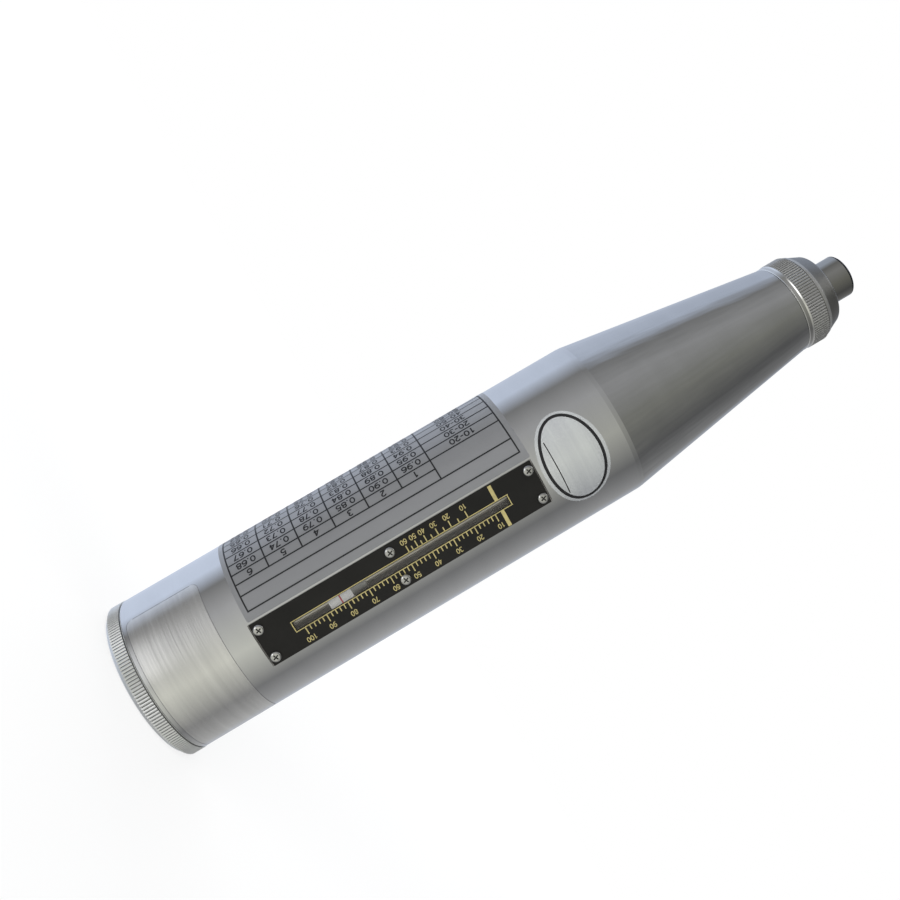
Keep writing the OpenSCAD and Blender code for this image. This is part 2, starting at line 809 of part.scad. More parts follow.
module plunger() {
    r = plunger_d / 2;
    bore = bar_d / 2 + run_fit;
    edge_r = r - plunger_bevel;
    dome = tip_dome_r;
    dome_rise = dome - sqrt(dome * dome - edge_r * edge_r);
    dome_angle = asin(edge_r / dome);
    color("lightgray")
        turned(concat(
            [
                [bore, anvil_z],
                [r - plunger_bevel, anvil_z],
                [r, anvil_z + plunger_bevel],
                [r, tip_edge_z - plunger_bevel]
            ],
            arc(0, tip_edge_z + dome_rise - dome, dome, 90 - dome_angle, 90, edge_steps),
            [
                [0, plunger_bore_end_z + bore / 2],
                [bore, plunger_bore_end_z]
            ]
        ));
}

module cushion_spring() {
    color("dimgray")
        translate([0, 0, bar_end_z + seat_gap])
            spring(cushion_d, cushion_wire, cushion_turns, plunger_bore_end_z - bar_end_z - 2 * seat_gap);
}

module scale_plate() {
    color("#1c1c1e")
        difference() {
            plate_block(plate_w, flat_y, flat_y + plate_t, plate_z, plate_len);
            plate_block(window_w, 0, body_d, window_z, window_len);
            at_plate_screws()
                rod_y(screw_d + 4 * slip_fit, -body_d, body_d, 0);
        }
}

module window_pane() {
    color("lightcyan", 0.4)
        plate_block(pane_w, pane_y, flat_y, window_z - pane_lap, window_len + 2 * pane_lap);
}

module plate_screws() {
    face_y = flat_y + plate_t;
    recess = screw_head_h / 2;
    recess_w = screw_head_d / 8;
    recess_len = screw_head_d * recess_share;
    crown = screw_head_h * crown_share;
    color("gainsboro")
        at_plate_screws()
            difference() {
                translate([0, -face_y, 0])
                    rotate([90, 0, 0])
                        turned(concat(
                            [
                                [0, -plate_t - screw_len + slip_fit],
                                [screw_d / 2, -plate_t - screw_len + slip_fit],
                                [screw_d / 2, 0],
                                [screw_head_d / 2, 0]
                            ],
                            arc(screw_head_d / 2 - crown, screw_head_h - crown, crown, 0, 90, edge_steps),
                            [[0, screw_head_h]]
                        ));
                for (turn = [0, 90])
                    rotate([0, turn, 0])
                        translate([-recess_len / 2, -face_y - screw_head_h - overrun, -recess_w / 2])
                            cube([recess_len, overrun + recess, recess_w]);
            }
}

module rider_carriage() {
    color("gray")
        difference() {
            plate_block(
                rider_w, carriage_base_y, carriage_top_y,
                index_z - rider_behind, rider_behind + rider_ahead
            );
            translate([0, -rider_rod_y, 0])
                rod(rod_d + 2 * run_fit, 0, nose_face_z);
        }
}

module rider_index() {
    color("white")
        plate_block(rider_w, carriage_top_y, index_y, index_z - rider_behind, rider_behind + index_ahead);
}

module rider_leaf() {
    tab_z = index_z - leaf_back;
    color("lightsteelblue")
        union() {
            plate_block(leaf_w, leaf_y - leaf_t, leaf_y, tab_z, leaf_back + index_ahead);
            plate_block(leaf_w, leaf_y - leaf_tab, leaf_y, tab_z, leaf_t);
        }
}

module rider_rod() {
    color("silver")
        translate([0, -rider_rod_y, 0])
            rod(rod_d, rod_z, rod_len);
}

module button_bush() {
    color("silver")
        difference() {
            union() {
                rod_y(bush_d, bush_seat_y, bush_h, button_z);
                rod_y(bush_neck_d, bush_end_y, bush_seat_y - bush_end_y + slip_fit, button_z);
            }
            rod_y(lock_pin_d + 2 * run_fit, 0, body_d, button_z);
            rod_y(bush_bore_d, bush_floor_y, bush_top_y - bush_lip - bush_floor_y, button_z);
            rod_y(button_d + 2 * run_fit, bush_top_y - bush_lip - overrun, body_r, button_z);
        }
}

module button() {
    edge = plunger_bevel;
    color("#303236")
        translate([0, 0, button_z])
            rotate([-90, 0, 0])
                turned([
                    [0, bush_end_y - spot_gap],
                    [lock_pin_d / 2 - edge, bush_end_y - spot_gap],
                    [lock_pin_d / 2, bush_end_y - spot_gap + edge],
                    [lock_pin_d / 2, collar_base_y],
                    [button_collar_d / 2, collar_base_y],
                    [button_collar_d / 2, collar_top_y],
                    [button_d / 2, collar_top_y],
                    [button_d / 2, button_top_y - edge],
                    [button_d / 2 - edge, button_top_y],
                    [0, button_top_y]
                ]);
}

module button_spring() {
    mean_d = (lock_pin_d + bush_bore_d) / 2;
    color("dimgray")
        translate([0, bush_floor_y + seat_gap, button_z])
            rotate([-90, 0, 0])
                spring(mean_d, button_wire, button_turns, collar_base_y - bush_floor_y - 2 * seat_gap);
}

housing();
rear_cap();
trip_screw();
trip_nut();
return_spring();
guide_flange();
guide_bar();
bar_pin();
pawl();
pawl_pin();
pawl_spring();
hammer();
impact_spring();
spring_seat();
lock_ring();
felt_seal();
nose_cap();
plunger();
cushion_spring();
scale_plate();
window_pane();
plate_screws();
rider_carriage();
rider_index();
rider_leaf();
rider_rod();
button_bush();
button();
button_spring();
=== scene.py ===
import math

import bmesh
import bpy
import numpy as np
from mathutils import Matrix, Vector


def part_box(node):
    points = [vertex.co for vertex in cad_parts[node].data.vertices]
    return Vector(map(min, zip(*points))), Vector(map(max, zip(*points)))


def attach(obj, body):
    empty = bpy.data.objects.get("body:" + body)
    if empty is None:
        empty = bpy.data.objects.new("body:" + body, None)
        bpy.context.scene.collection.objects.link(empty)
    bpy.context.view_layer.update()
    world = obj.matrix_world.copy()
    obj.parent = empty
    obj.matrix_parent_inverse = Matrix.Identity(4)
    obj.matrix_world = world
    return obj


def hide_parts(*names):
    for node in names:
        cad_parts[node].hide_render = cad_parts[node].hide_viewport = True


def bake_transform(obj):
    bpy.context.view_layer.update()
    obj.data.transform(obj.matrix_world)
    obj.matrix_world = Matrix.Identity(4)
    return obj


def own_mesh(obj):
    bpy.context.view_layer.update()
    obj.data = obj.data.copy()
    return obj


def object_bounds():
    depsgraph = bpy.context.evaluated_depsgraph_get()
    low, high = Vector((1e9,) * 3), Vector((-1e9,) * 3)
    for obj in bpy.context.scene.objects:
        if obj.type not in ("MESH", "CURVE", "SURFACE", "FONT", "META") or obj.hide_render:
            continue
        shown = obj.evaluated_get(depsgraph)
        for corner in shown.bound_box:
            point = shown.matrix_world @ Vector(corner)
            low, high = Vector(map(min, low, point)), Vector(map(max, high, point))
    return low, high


bl_info = {
    "name": "Concrete Test Hammer",
    "version": (1, 0, 0),
    "blender": (4, 5, 0),
    "location": "3D View > Sidebar > Hammer",
    "description": "Builds the visible pieces of a concrete test hammer round its packed model",
    "category": "Object",
}

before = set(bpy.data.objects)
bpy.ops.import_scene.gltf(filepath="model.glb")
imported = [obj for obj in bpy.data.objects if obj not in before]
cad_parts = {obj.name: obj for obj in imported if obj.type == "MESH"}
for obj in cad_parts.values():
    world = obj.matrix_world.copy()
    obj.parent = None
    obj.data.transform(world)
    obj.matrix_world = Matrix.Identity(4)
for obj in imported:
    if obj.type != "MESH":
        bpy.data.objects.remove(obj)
CAD_BOX = [list(corner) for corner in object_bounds()]
HOUSING_LOW, HOUSING_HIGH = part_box("housing")
PLATE_LOW, PLATE_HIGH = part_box("scale_plate")
PANE_LOW, PANE_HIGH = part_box("window_pane")
INDEX_LOW, INDEX_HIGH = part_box("rider_index")
LEAF_LOW, LEAF_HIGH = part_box("rider_leaf")
BUTTON_LOW, BUTTON_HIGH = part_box("button")
BUSH_LOW, BUSH_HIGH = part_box("button_bush")
CAP_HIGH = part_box("rear_cap")[1]
SEAT_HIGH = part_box("spring_seat")[1]
BUTTON_HEIGHT = (BUTTON_LOW.z + BUTTON_HIGH.z) / 2
MM = 0.001

# Clearance of the pieces that fit into one another, and the narrow band between barrel and taper
SLIP = 0.03 * MM
CREASE_LENGTH = 1.5 * MM
CREASE_DROP = 0.12 * MM


def length(name, description, millimetres):
    """A length property with its default."""
    return bpy.props.FloatProperty(
        name=name, description=description, default=millimetres * MM, unit="LENGTH")


def count(name, description, value, least):
    """A whole number property with its default."""
    return bpy.props.IntProperty(name=name, description=description, default=value, min=least)


def colour(name, description, value):
    """A colour property with its default."""
    return bpy.props.FloatVectorProperty(
        name=name, description=description, default=value, size=3, min=0, max=1, subtype="COLOR")


class HammerSizes(bpy.types.PropertyGroup):
    """Sizes of the pieces that the scene makes"""

    barrel_radius: length("Barrel radius", "Radius of the straight barrel", HOUSING_HIGH.x / MM)
    taper_start: length("Taper start", "Height at which the taper starts", 171.5)
    taper_end: length("Taper end", "Height at which the taper ends", 244.2)
    taper_end_radius: length("Taper end radius", "Radius at the small end of the taper", 15.6)
    round_steps: count("Round steps", "Facets round a turned piece", 256, 48)
    edge_radius: length("Edge radius", "Rounding of the turned pieces' edges", 0.2)
    cap_ribs: count("Cap ribs", "Ribs in the rear cap's knurl", 160, 20)
    nose_ribs: count("Nose ribs", "Ribs in the nose cap's knurl", 100, 20)
    rib_depth: length("Rib depth", "Depth of the knurls", 0.38)
    print_lift: length("Print lift", "How far the print stands off its ground", 0.02)
    label_lift: length("Label lift", "Thickness of the stuck-on labels", 0.07)
    division: length("Division", "Length of one division of the main scale", 0.75)
    mark_100: length("Mark 100", "Height of the mark 100 of the main scale", 55.3)
    tick_width: length("Tick width", "Width of a mark of the scale", 0.35)
    numeral_height: length("Numeral height", "Height of the scale's numerals", 1.75)
    table_numeral_height: length("Table numeral height", "Height of the table's numerals", 2.3)


class HammerColours(bpy.types.PropertyGroup):
    """Colours of the finishes"""

    barrel: colour("Barrel", "Satin-turned aluminium", (0.80, 0.81, 0.82))
    taper: colour("Taper", "Polished aluminium", (0.76, 0.77, 0.78))
    cap: colour("Rear cap", "Knurled aluminium", (0.84, 0.85, 0.84))
    # Painted shade: the dark colour given to the knurls' roots and the screws' recesses
    groove: colour("Groove", "Shaded roots of the knurls", (0.16, 0.16, 0.16))
    # Painted shade in the roots of the nose's knurl
    nose_groove: colour("Nose groove", "Shaded roots of the nose's knurl", (0.30, 0.30, 0.29))
    nose: colour("Nose cap", "Dull grey metal", (0.40, 0.40, 0.39))
    nose_knurl: colour("Nose knurl", "Grey knurled metal", (0.62, 0.62, 0.61))
    bead: colour("Nose bead", "Bright turned ring", (0.88, 0.88, 0.86))
    plunger: colour("Plunger", "Ground steel", (0.55, 0.55, 0.53))
    plate: colour("Scale plate", "Black lacquer", (0.0115, 0.011, 0.010))
    gold: colour("Scale print", "Gold ink", (0.50, 0.425, 0.175))
    table: colour("Table label", "Matt silver foil under a clear film", (0.25, 0.255, 0.265))
    foil: colour("Rear label", "Brushed silver foil", (0.88, 0.88, 0.87))
    oval: colour("Oval label", "Brushed silver foil", (0.90, 0.93, 0.96))
    rim: colour("Label rim", "Cut edge of a label", (0.10, 0.10, 0.11))
    ink: colour("Label print", "Black ink", (0.012, 0.012, 0.014))
    index: colour("Index", "White plastic", (0.88, 0.88, 0.86))
    index_line: colour("Index line", "Red ink", (0.62, 0.05, 0.08))
    # Painted dark reflection on the rounded rim of the plunger's tip
    tip_edge: colour("Tip edge", "Dark rounded edge of the plunger", (0.05, 0.055, 0.065))
    screw: colour("Screws", "Bright steel", (0.72, 0.72, 0.71))
    # Painted shade: the rider's channel and the cuts round the plate's flat are given this darker colour
    channel: colour("Channel", "Dark shadowed channel", (0.30, 0.29, 0.27))
    rider: colour("Rider", "Dull grey metal", (0.416, 0.424, 0.432))
    pane: colour("Pane", "Clear plastic", (0.46, 0.44, 0.39))
    rod: colour("Rider's rod", "Nickel-plated steel", (0.95, 0.92, 0.83))
    steel: colour("Inner steel", "Ground steel", (0.52, 0.53, 0.54))
    spring: colour("Springs", "Drawn wire", (0.34, 0.34, 0.35))
    brass: colour("Sleeve", "Turned brass", (0.70, 0.52, 0.26))
    felt: colour("Felt", "Grey-green felt", (0.16, 0.17, 0.12))
    button: colour("Button", "Black plastic", (0.03, 0.03, 0.032))


def feed(tree, node, inputs):
    """Puts sockets or plain values on a node's inputs, which are given by name or by place."""
    for key, value in inputs.items():
        if isinstance(value, bpy.types.NodeSocket):
            tree.links.new(value, node.inputs[key])
        else:
            node.inputs[key].default_value = value


def add(tree, kind, inputs=None, **settings):
    """A new node with its settings and inputs."""
    node = tree.nodes.new(kind)
    for key, value in settings.items():
        setattr(node, key, value)
    feed(tree, node, inputs or {})
    return node


def math_node(tree, operation, a, b):
    """The result of a Math node on sockets or numbers."""
    return add(tree, "ShaderNodeMath", {0: a, 1: b}, operation=operation).outputs[0]


def vector_node(tree, x, y, z):
    """The result of a Combine XYZ node on sockets or numbers."""
    return add(tree, "ShaderNodeCombineXYZ", {0: x, 1: y, 2: z}).outputs[0]


def new_material(name):
    """A node material with nothing but its shader and its output."""
    material = bpy.data.materials.new(name)
    material.use_nodes = True
    tree = material.node_tree
    tree.nodes.clear()
    shader = add(tree, "ShaderNodeBsdfPrincipled")
    output = add(tree, "ShaderNodeOutputMaterial", {"Surface": shader.outputs["BSDF"]})
    return material, shader, output


def grain(tree, per_metre, detail=3.0):
    """Noise on Object coordinates with its own number of grains per metre along each axis."""
    place = add(tree, "ShaderNodeTexCoord").outputs["Object"]
    mapping = add(tree, "ShaderNodeMapping", {"Vector": place, "Scale": per_metre})
    noise = add(tree, "ShaderNodeTexNoise", {
        "Vector": mapping.outputs["Vector"], "Scale": 1.0, "Detail": detail})
    return noise.outputs["Fac"]


# Grains per metre along x, y and z: lines turned round the axis, brushed lines, and slow unevenness
TURNED_FINE = (6, 6, 3200)
TURNED_COARSE = (40, 40, 130)
BRUSHED_FINE = (9, 9, 2600)
BRUSHED_COARSE = (16, 16, 520)
SWELLS = (24, 24, 15)
SWELL_DETAIL = 2.0
# The middle band of the noise, stretched over a finish's whole range, and the depth of its fine relief
GRAIN_LOW = 0.3
GRAIN_HIGH = 0.7
GRAIN_DEPTH = 0.02 * MM
LEAST_ROUGHNESS = 0.02


def even(per_metre):
    """The same number of grains along each axis."""
    return (per_metre, per_metre, per_metre)


def surface(name, tone, metallic, roughness, spread, fine, coarse, bump, tint=0.06, wave=0.0,
            swells=SWELLS):
    """A finish whose fine grain drives roughness and bump, and whose coarse grain varies the colour.
    A wave in metres makes its mirror images run slightly uneven."""
    known = bpy.data.materials.get(name)
    if known:
        return known
    material, shader, _ = new_material(name)
    tree = material.node_tree
    fine_grain = grain(tree, fine)
    rough = add(tree, "ShaderNodeMapRange", {
        "Value": fine_grain, "From Min": GRAIN_LOW, "From Max": GRAIN_HIGH,
        "To Min": max(LEAST_ROUGHNESS, roughness - spread), "To Max": roughness + spread})
    relief = add(tree, "ShaderNodeBump", {"Strength": bump, "Distance": GRAIN_DEPTH, "Height": fine_grain})
    if wave:
        swell = add(tree, "ShaderNodeBump", {
            "Distance": wave, "Height": grain(tree, swells, SWELL_DETAIL)})
        feed(tree, relief, {"Normal": swell.outputs["Normal"]})
    ramp = add(tree, "ShaderNodeValToRGB", {"Fac": grain(tree, coarse)})
    dark, pale = ramp.color_ramp.elements
    dark.position, pale.position = GRAIN_LOW, GRAIN_HIGH
    dark.color = [part * (1 - tint) for part in tone] + [1]
    pale.color = [min(1, part * (1 + tint)) for part in tone] + [1]
    feed(tree, shader, {
        "Metallic": metallic, "Roughness": rough.outputs["Result"], "Normal": relief.outputs["Normal"],
        "Base Color": ramp.outputs["Color"]})
    return material


def turned_metal(name, tone, roughness, bump, fine=TURNED_FINE, wave=0.0, swells=SWELLS):
    """Metal with fine turning lines round the Z axis."""
    return surface(name, tone, metallic=1.0, roughness=roughness, spread=0.05, fine=fine,
                   coarse=TURNED_COARSE, bump=bump, tint=0.03, wave=wave, swells=swells)


def ground_metal(name, tone, roughness):
    """Metal with a fine even grain."""
    return surface(name, tone, metallic=1.0, roughness=roughness, spread=0.08, fine=even(1500),
                   coarse=even(90), bump=0.06)


def ink(name, tone):
    """A printed film with a slightly uneven coat."""
    return surface(name, tone, metallic=0.0, roughness=0.45, spread=0.08, fine=even(2500), coarse=even(400),
                   bump=0.05, tint=0.12)


def shader_of(material):
    """The shader of a finish."""
    return next(node for node in material.node_tree.nodes if node.type == "BSDF_PRINCIPLED")


def clear_pane(name, tone):
    """A clear plastic pane with faint smudges."""
    material = surface(name, tone, metallic=0.0, roughness=0.08, spread=0.03, fine=(300, 300, 60),
                       coarse=(120, 120, 30), bump=0.0)
    shader_of(material).inputs["Alpha"].default_value = 0.1
    return material


# A corner that turns less than this stays as it is, and a rounding takes at most this share of a side
SOFT_TURN = math.radians(20)
ROUNDING_SHARE = 0.4
# A radius under this lies on the axis
ON_AXIS = 1e-9
SHARP_EDGE = math.radians(35)


def in_mm(points):
    """Points of a profile, given in millimetres, in metres."""
    return [(r * MM, z * MM) for r, z in points]


def eased(profile, radius, steps=3):
    """The profile with its sharp corners rounded."""
    points = [np.array(point, float) for point in profile]
    made = []
    for i, corner in enumerate(points):
        before, after = points[i - 1] - corner, points[(i + 1) % len(points)] - corner
        a, b = np.linalg.norm(before), np.linalg.norm(after)
        turn = math.pi - math.acos(max(-1, min(1, before @ after / (a * b))))
        if corner[0] < ON_AXIS or turn < SOFT_TURN:
            made.append(corner)
            continue
        reach = min(radius, ROUNDING_SHARE * a, ROUNDING_SHARE * b)
        first, last = corner + before / a * reach, corner + after / b * reach
        for k in range(steps + 1):
            s = k / steps
            made.append((1 - s) ** 2 * first + 2 * s * (1 - s) * corner + s * s * last)
    return made


def arc(centre_r, centre_z, radius, start, end, steps):
    """Points of an arc in a profile, angles in degrees."""
    angles = np.radians(np.linspace(start, end, steps + 1))
    return [(centre_r + radius * math.cos(a), centre_z + radius * math.sin(a)) for a in angles]


def turned(profile, steps):
    """Vertices and faces of a closed profile, counter-clockwise in radius and height, turned round Z."""
    vertices, rings, faces = [], [], []
    angles = np.linspace(0, 2 * math.pi, steps, endpoint=False)
    for r, z in profile:
        if r < ON_AXIS:
            rings.append([len(vertices)] * steps)
            vertices.append((0, 0, z))
        else:
            rings.append(list(range(len(vertices), len(vertices) + steps)))
            vertices += [(r * math.cos(a), r * math.sin(a), z) for a in angles]
    for i, ring in enumerate(rings):
        above = rings[(i + 1) % len(rings)]
        for k in range(steps):
            n = (k + 1) % steps
            corners = list(dict.fromkeys([ring[k], ring[n], above[n], above[k]]))
            if len(corners) > 2:
                faces.append(corners)
    return vertices, faces


def mesh_of(name, vertices, faces, materials):
    """A mesh from vertices and faces, smooth apart from its sharp edges."""
    mesh = bpy.data.meshes.new(name)
    mesh.from_pydata([tuple(v) for v in vertices], [], faces)
    for material in materials:
        mesh.materials.append(material)
    mesh.validate()
    mesh.shade_smooth()
    mesh.set_sharp_from_angle(angle=SHARP_EDGE)
    return mesh


def shown(name, data):
    """An object of that data in the scene."""
    made = bpy.data.objects.new(name, data)
    bpy.context.scene.collection.objects.link(made)
    return made


def plain_mesh(carrier, name):
    """The mesh that an object's modifiers make. The object and the mesh that it had are removed."""
    graph = bpy.context.evaluated_depsgraph_get()
    made = bpy.data.meshes.new_from_object(carrier.evaluated_get(graph), depsgraph=graph)
    source = carrier.data
    bpy.data.objects.remove(carrier)
    bpy.data.meshes.remove(source)
    made.name = name
    return made


def finished(mesh, *modifiers):
    """The mesh after these modifiers, given as (type, settings), as a plain mesh."""
    carrier = shown("carrier", mesh)
    for kind, settings in modifiers:
        modifier = carrier.modifiers.new(kind.lower(), kind)
        for key, value in settings.items():
            setattr(modifier, key, value)
    return plain_mesh(carrier, mesh.name)


def cut_by(mesh, cutters):
    """The mesh with these closed meshes cut away, one after the other."""
    carriers = [shown("cutter", cutter) for cutter in cutters]
    made = finished(mesh, *[
        ("BOOLEAN", {"operation": "DIFFERENCE", "solver": "EXACT", "object": carrier})
        for carrier in carriers])
    for carrier in carriers:
        bpy.data.objects.remove(carrier)
    return made


def lathe_mesh(name, profile, steps, material, edge=0.0):
    """A turned piece with rounded edges and normals that keep its long faces true."""
    vertices, faces = turned(eased(profile, edge) if edge else profile, steps)
    mesh = mesh_of(name, vertices, faces, [material])
    return finished(mesh, ("WEIGHTED_NORMAL", {"keep_sharp": True}))


def piece(name, mesh, body, stands_for=()):
    """An object of the mesh that rides on a body, where one is given, and stands for CAD nodes."""
    made = shown(name, mesh)
    if body:
        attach(made, body)
    if stands_for:
        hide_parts(*stands_for)
    return made


def along_y(mesh, centre_z):
    """Turns a piece made round Z to stand along +Y at that height."""
    mesh.transform(Matrix(((1, 0, 0, 0), (0, 0, 1, 0), (0, -1, 0, centre_z), (0, 0, 0, 1))))
    return mesh


def box_mesh(name, low, high):
    """A closed box between two corners."""
    build = bmesh.new()
    bmesh.ops.create_cube(build, size=1)
    low, high = Vector(low), Vector(high)
    for vertex in build.verts:
        vertex.co = Vector(a + (b - a) * (c + 0.5) for a, b, c in zip(low, high, vertex.co))
    mesh = bpy.data.meshes.new(name)
    build.to_mesh(mesh)
    build.free()
    return mesh


def node_tree(name, inputs):
    """A new geometry tree with named inputs, its input and output nodes and the inputs' identifiers."""
    tree = bpy.data.node_groups.new(name, "GeometryNodeTree")
    tree.interface.new_socket("Geometry", in_out="INPUT", socket_type="NodeSocketGeometry")
    tree.interface.new_socket("Geometry", in_out="OUTPUT", socket_type="NodeSocketGeometry")
    named = {}
    for label, kind in inputs.items():
        socket = tree.interface.new_socket(label, in_out="INPUT", socket_type="NodeSocket" + kind)
        named[label] = socket.identifier
    return tree, add(tree, "NodeGroupInput").outputs, add(tree, "NodeGroupOutput"), named


def end_tree(tree, given, result, geometry, smooth=False):
    """Realizes the instances, sets the material and ends the tree."""
    last = add(tree, "GeometryNodeRealizeInstances", {"Geometry": geometry})
    if smooth:
        last = add(tree, "GeometryNodeSetShadeSmooth", {"Geometry": last.outputs["Geometry"]})
    paint = add(tree, "GeometryNodeSetMaterial", {
        "Geometry": last.outputs["Geometry"], "Material": given["Material"]})
    feed(tree, result, {"Geometry": paint.outputs["Geometry"]})


# Sides of a knurl's rib and the share of its pitch that it fills; steps along a turn of wire and round it
RIB_SIDES = 6
RIB_WIDTH_SHARE = 0.86
TURN_STEPS = 32
WIRE_STEPS = 10


def knurl_tree():
    """Straight ribs set round a ring."""
    tree, given, result, named = node_tree("straight_knurl", {
        "Ribs": "Int", "Ring Radius": "Float", "Rib Radius": "Float", "Rib Length": "Float",
        "Flatten": "Float", "Height": "Float", "Material": "Material"})
    ring = add(tree, "GeometryNodeMeshCircle", {"Vertices": given["Ribs"], "Radius": given["Ring Radius"]})
    rib = add(tree, "GeometryNodeMeshCylinder", {
        "Vertices": RIB_SIDES, "Radius": given["Rib Radius"], "Depth": given["Rib Length"]})
    lift = add(tree, "GeometryNodeSetPosition", {
        "Geometry": ring.outputs["Mesh"], "Offset": vector_node(tree, 0, 0, given["Height"])})
    turn = math_node(tree, "DIVIDE", 2 * math.pi, given["Ribs"])
    angle = math_node(tree, "MULTIPLY", add(tree, "GeometryNodeInputIndex").outputs[0], turn)
    place = add(tree, "GeometryNodeInstanceOnPoints", {
        "Points": lift.outputs["Geometry"], "Instance": rib.outputs["Mesh"],
        "Rotation": vector_node(tree, 0, 0, angle), "Scale": vector_node(tree, given["Flatten"], 1, 1)})
    end_tree(tree, given, result, place.outputs["Instances"])
    return tree, named


def tick_tree():
    """A row of marks with longer ones at an even count."""
    tree, given, result, named = node_tree("scale_marks", {
        "Marks": "Int", "Start": "Vector", "Step": "Vector", "Short": "Float", "Long": "Float",
        "Every": "Int", "Width": "Float", "Material": "Material"})
    row = add(tree, "GeometryNodeMeshLine", {
        "Count": given["Marks"], "Start Location": given["Start"], "Offset": given["Step"]})
    mark = add(tree, "GeometryNodeMeshGrid", {"Size X": 1, "Size Y": 1, "Vertices X": 2, "Vertices Y": 2})
    over = math_node(tree, "MODULO", add(tree, "GeometryNodeInputIndex").outputs[0], given["Every"])
    is_long = math_node(tree, "LESS_THAN", over, 0.5)
    gain = math_node(tree, "SUBTRACT", given["Long"], given["Short"])
    reach = math_node(tree, "ADD", given["Short"], math_node(tree, "MULTIPLY", gain, is_long))
    half = math_node(tree, "MULTIPLY", reach, 0.5)
    shift = add(tree, "GeometryNodeSetPosition", {
        "Geometry": row.outputs["Mesh"], "Offset": vector_node(tree, half, 0, 0)})
    place = add(tree, "GeometryNodeInstanceOnPoints", {
        "Points": shift.outputs["Geometry"], "Instance": mark.outputs["Mesh"],
        "Rotation": (math.pi / 2, 0, 0), "Scale": vector_node(tree, reach, given["Width"], 1)})
    end_tree(tree, given, result, place.outputs["Instances"])
    return tree, named


def spring_tree():
    """A wound wire."""
    tree, given, result, named = node_tree("wound_wire", {
        "Turns": "Float", "Radius": "Float", "Length": "Float", "Wire Radius": "Float",
        "Material": "Material"})
    path = add(tree, "GeometryNodeCurveSpiral", {
        "Resolution": TURN_STEPS, "Rotations": given["Turns"], "Start Radius": given["Radius"],
        "End Radius": given["Radius"], "Height": given["Length"]})
    wire = add(tree, "GeometryNodeCurvePrimitiveCircle", {
        "Resolution": WIRE_STEPS, "Radius": given["Wire Radius"]})
    tube = add(tree, "GeometryNodeCurveToMesh", {
        "Curve": path.outputs["Curve"], "Profile Curve": wire.outputs["Curve"], "Fill Caps": True})
    end_tree(tree, given, result, tube.outputs["Mesh"], smooth=True)
    return tree, named


def fastener_tree():
    """One screw set on every point of the mesh."""
    tree, given, result, named = node_tree("set_screws", {"Screw": "Object", "Material": "Material"})
    source = add(tree, "GeometryNodeObjectInfo", {"Object": given["Screw"]})
    place = add(tree, "GeometryNodeInstanceOnPoints", {
        "Points": given["Geometry"], "Instance": source.outputs["Geometry"]})
    end_tree(tree, given, result, place.outputs["Instances"])
    return tree, named


def grown(name, made_tree, values, points=()):
    """The plain mesh that a tree makes from these values."""
    tree, named = made_tree
    mesh = bpy.data.meshes.new(name + "_points")
    mesh.from_pydata(list(points), [], [])
    carrier = shown(name, mesh)
    modifier = carrier.modifiers.new("tree", "NODES")
    modifier.node_group = tree
    for label, value in values.items():
        modifier[named[label]] = value
    carrier.update_tag()
    made = plain_mesh(carrier, name)
    if not made.polygons:
        raise RuntimeError(f"the tree {tree.name} made nothing for {name}")
    return made


def knurl_mesh(name, sizes, ribs, radius, low, high, material):
    """A straight knurl whose tips lie at that radius."""
    rib = math.pi * radius / ribs * RIB_WIDTH_SHARE
    flatten = sizes.rib_depth / rib
    return grown(name, knurl_tree(), {
        "Ribs": ribs, "Ring Radius": radius - rib * flatten, "Rib Radius": rib,
        "Rib Length": high - low, "Flatten": flatten, "Height": (low + high) / 2, "Material": material})


def shaded(mesh, material, low, high, radius):
    """Gives the outer faces between two heights another finish, which paints shade or a dark reflection on
    them.
    """
    mesh.materials.append(material)
    for face in mesh.polygons:
        spans = [mesh.vertices[i].co.z for i in face.vertices]
        if Vector(face.center.xy).length > radius and min(spans) < high and max(spans) > low:
            face.material_index = len(mesh.materials) - 1


def bow(x, y, rx, ry, start, end, steps=12):
    """Points of an oval arc round (x, y), angles in degrees."""
    angles = np.radians(np.linspace(start, end, steps + 1))
    return [(x + rx * math.cos(a), y + ry * math.sin(a)) for a in angles]


# Strokes of the signs, one unit high
SIX = [bow(0.31, 0.33, 0.235, 0.26, 0, 360, 24), bow(0.40, 0.40, 0.325, 0.53, 62, 185)]
STROKES = {
    "0": [bow(0.31, 0.5, 0.235, 0.43, 0, 360, 28)],
    "1": [[(0.36, 0.0), (0.36, 1.0)], [(0.36, 0.90), (0.15, 0.74)]],
    "2": [bow(0.31, 0.70, 0.225, 0.23, 170, -38) + [(0.10, 0.07)], [(0.05, 0.07), (0.56, 0.07)]],
    "3": [bow(0.30, 0.72, 0.20, 0.21, 155, -90), bow(0.30, 0.29, 0.235, 0.22, 90, -155)],
    "4": [[(0.43, 0.0), (0.43, 1.0)], [(0.41, 0.93), (0.09, 0.30), (0.58, 0.30)]],
    "5": [[(0.53, 0.93), (0.16, 0.93), (0.12, 0.52)] + bow(0.30, 0.33, 0.24, 0.26, 125, -155)],
    "6": SIX,
    "7": [[(0.06, 0.93), (0.54, 0.93), (0.24, 0.0)]],
    "8": [bow(0.31, 0.72, 0.19, 0.21, 0, 360, 24), bow(0.31, 0.29, 0.235, 0.22, 0, 360, 24)],
    "9": [[(0.62 - x, 1 - y) for x, y in line] for line in SIX],
    ".": [[(0.09, 0.07), (0.23, 0.07)]],
    "-": [[(0.06, 0.45), (0.40, 0.45)]]}
ADVANCE = {".": 0.32, "-": 0.46}
DIGIT_ADVANCE = 0.66
# Longest step along a stroke, and the least that a mitre divides by, which keeps sharp corners short
STROKE_STEP = 0.2
MITRE_LIMIT = 0.8


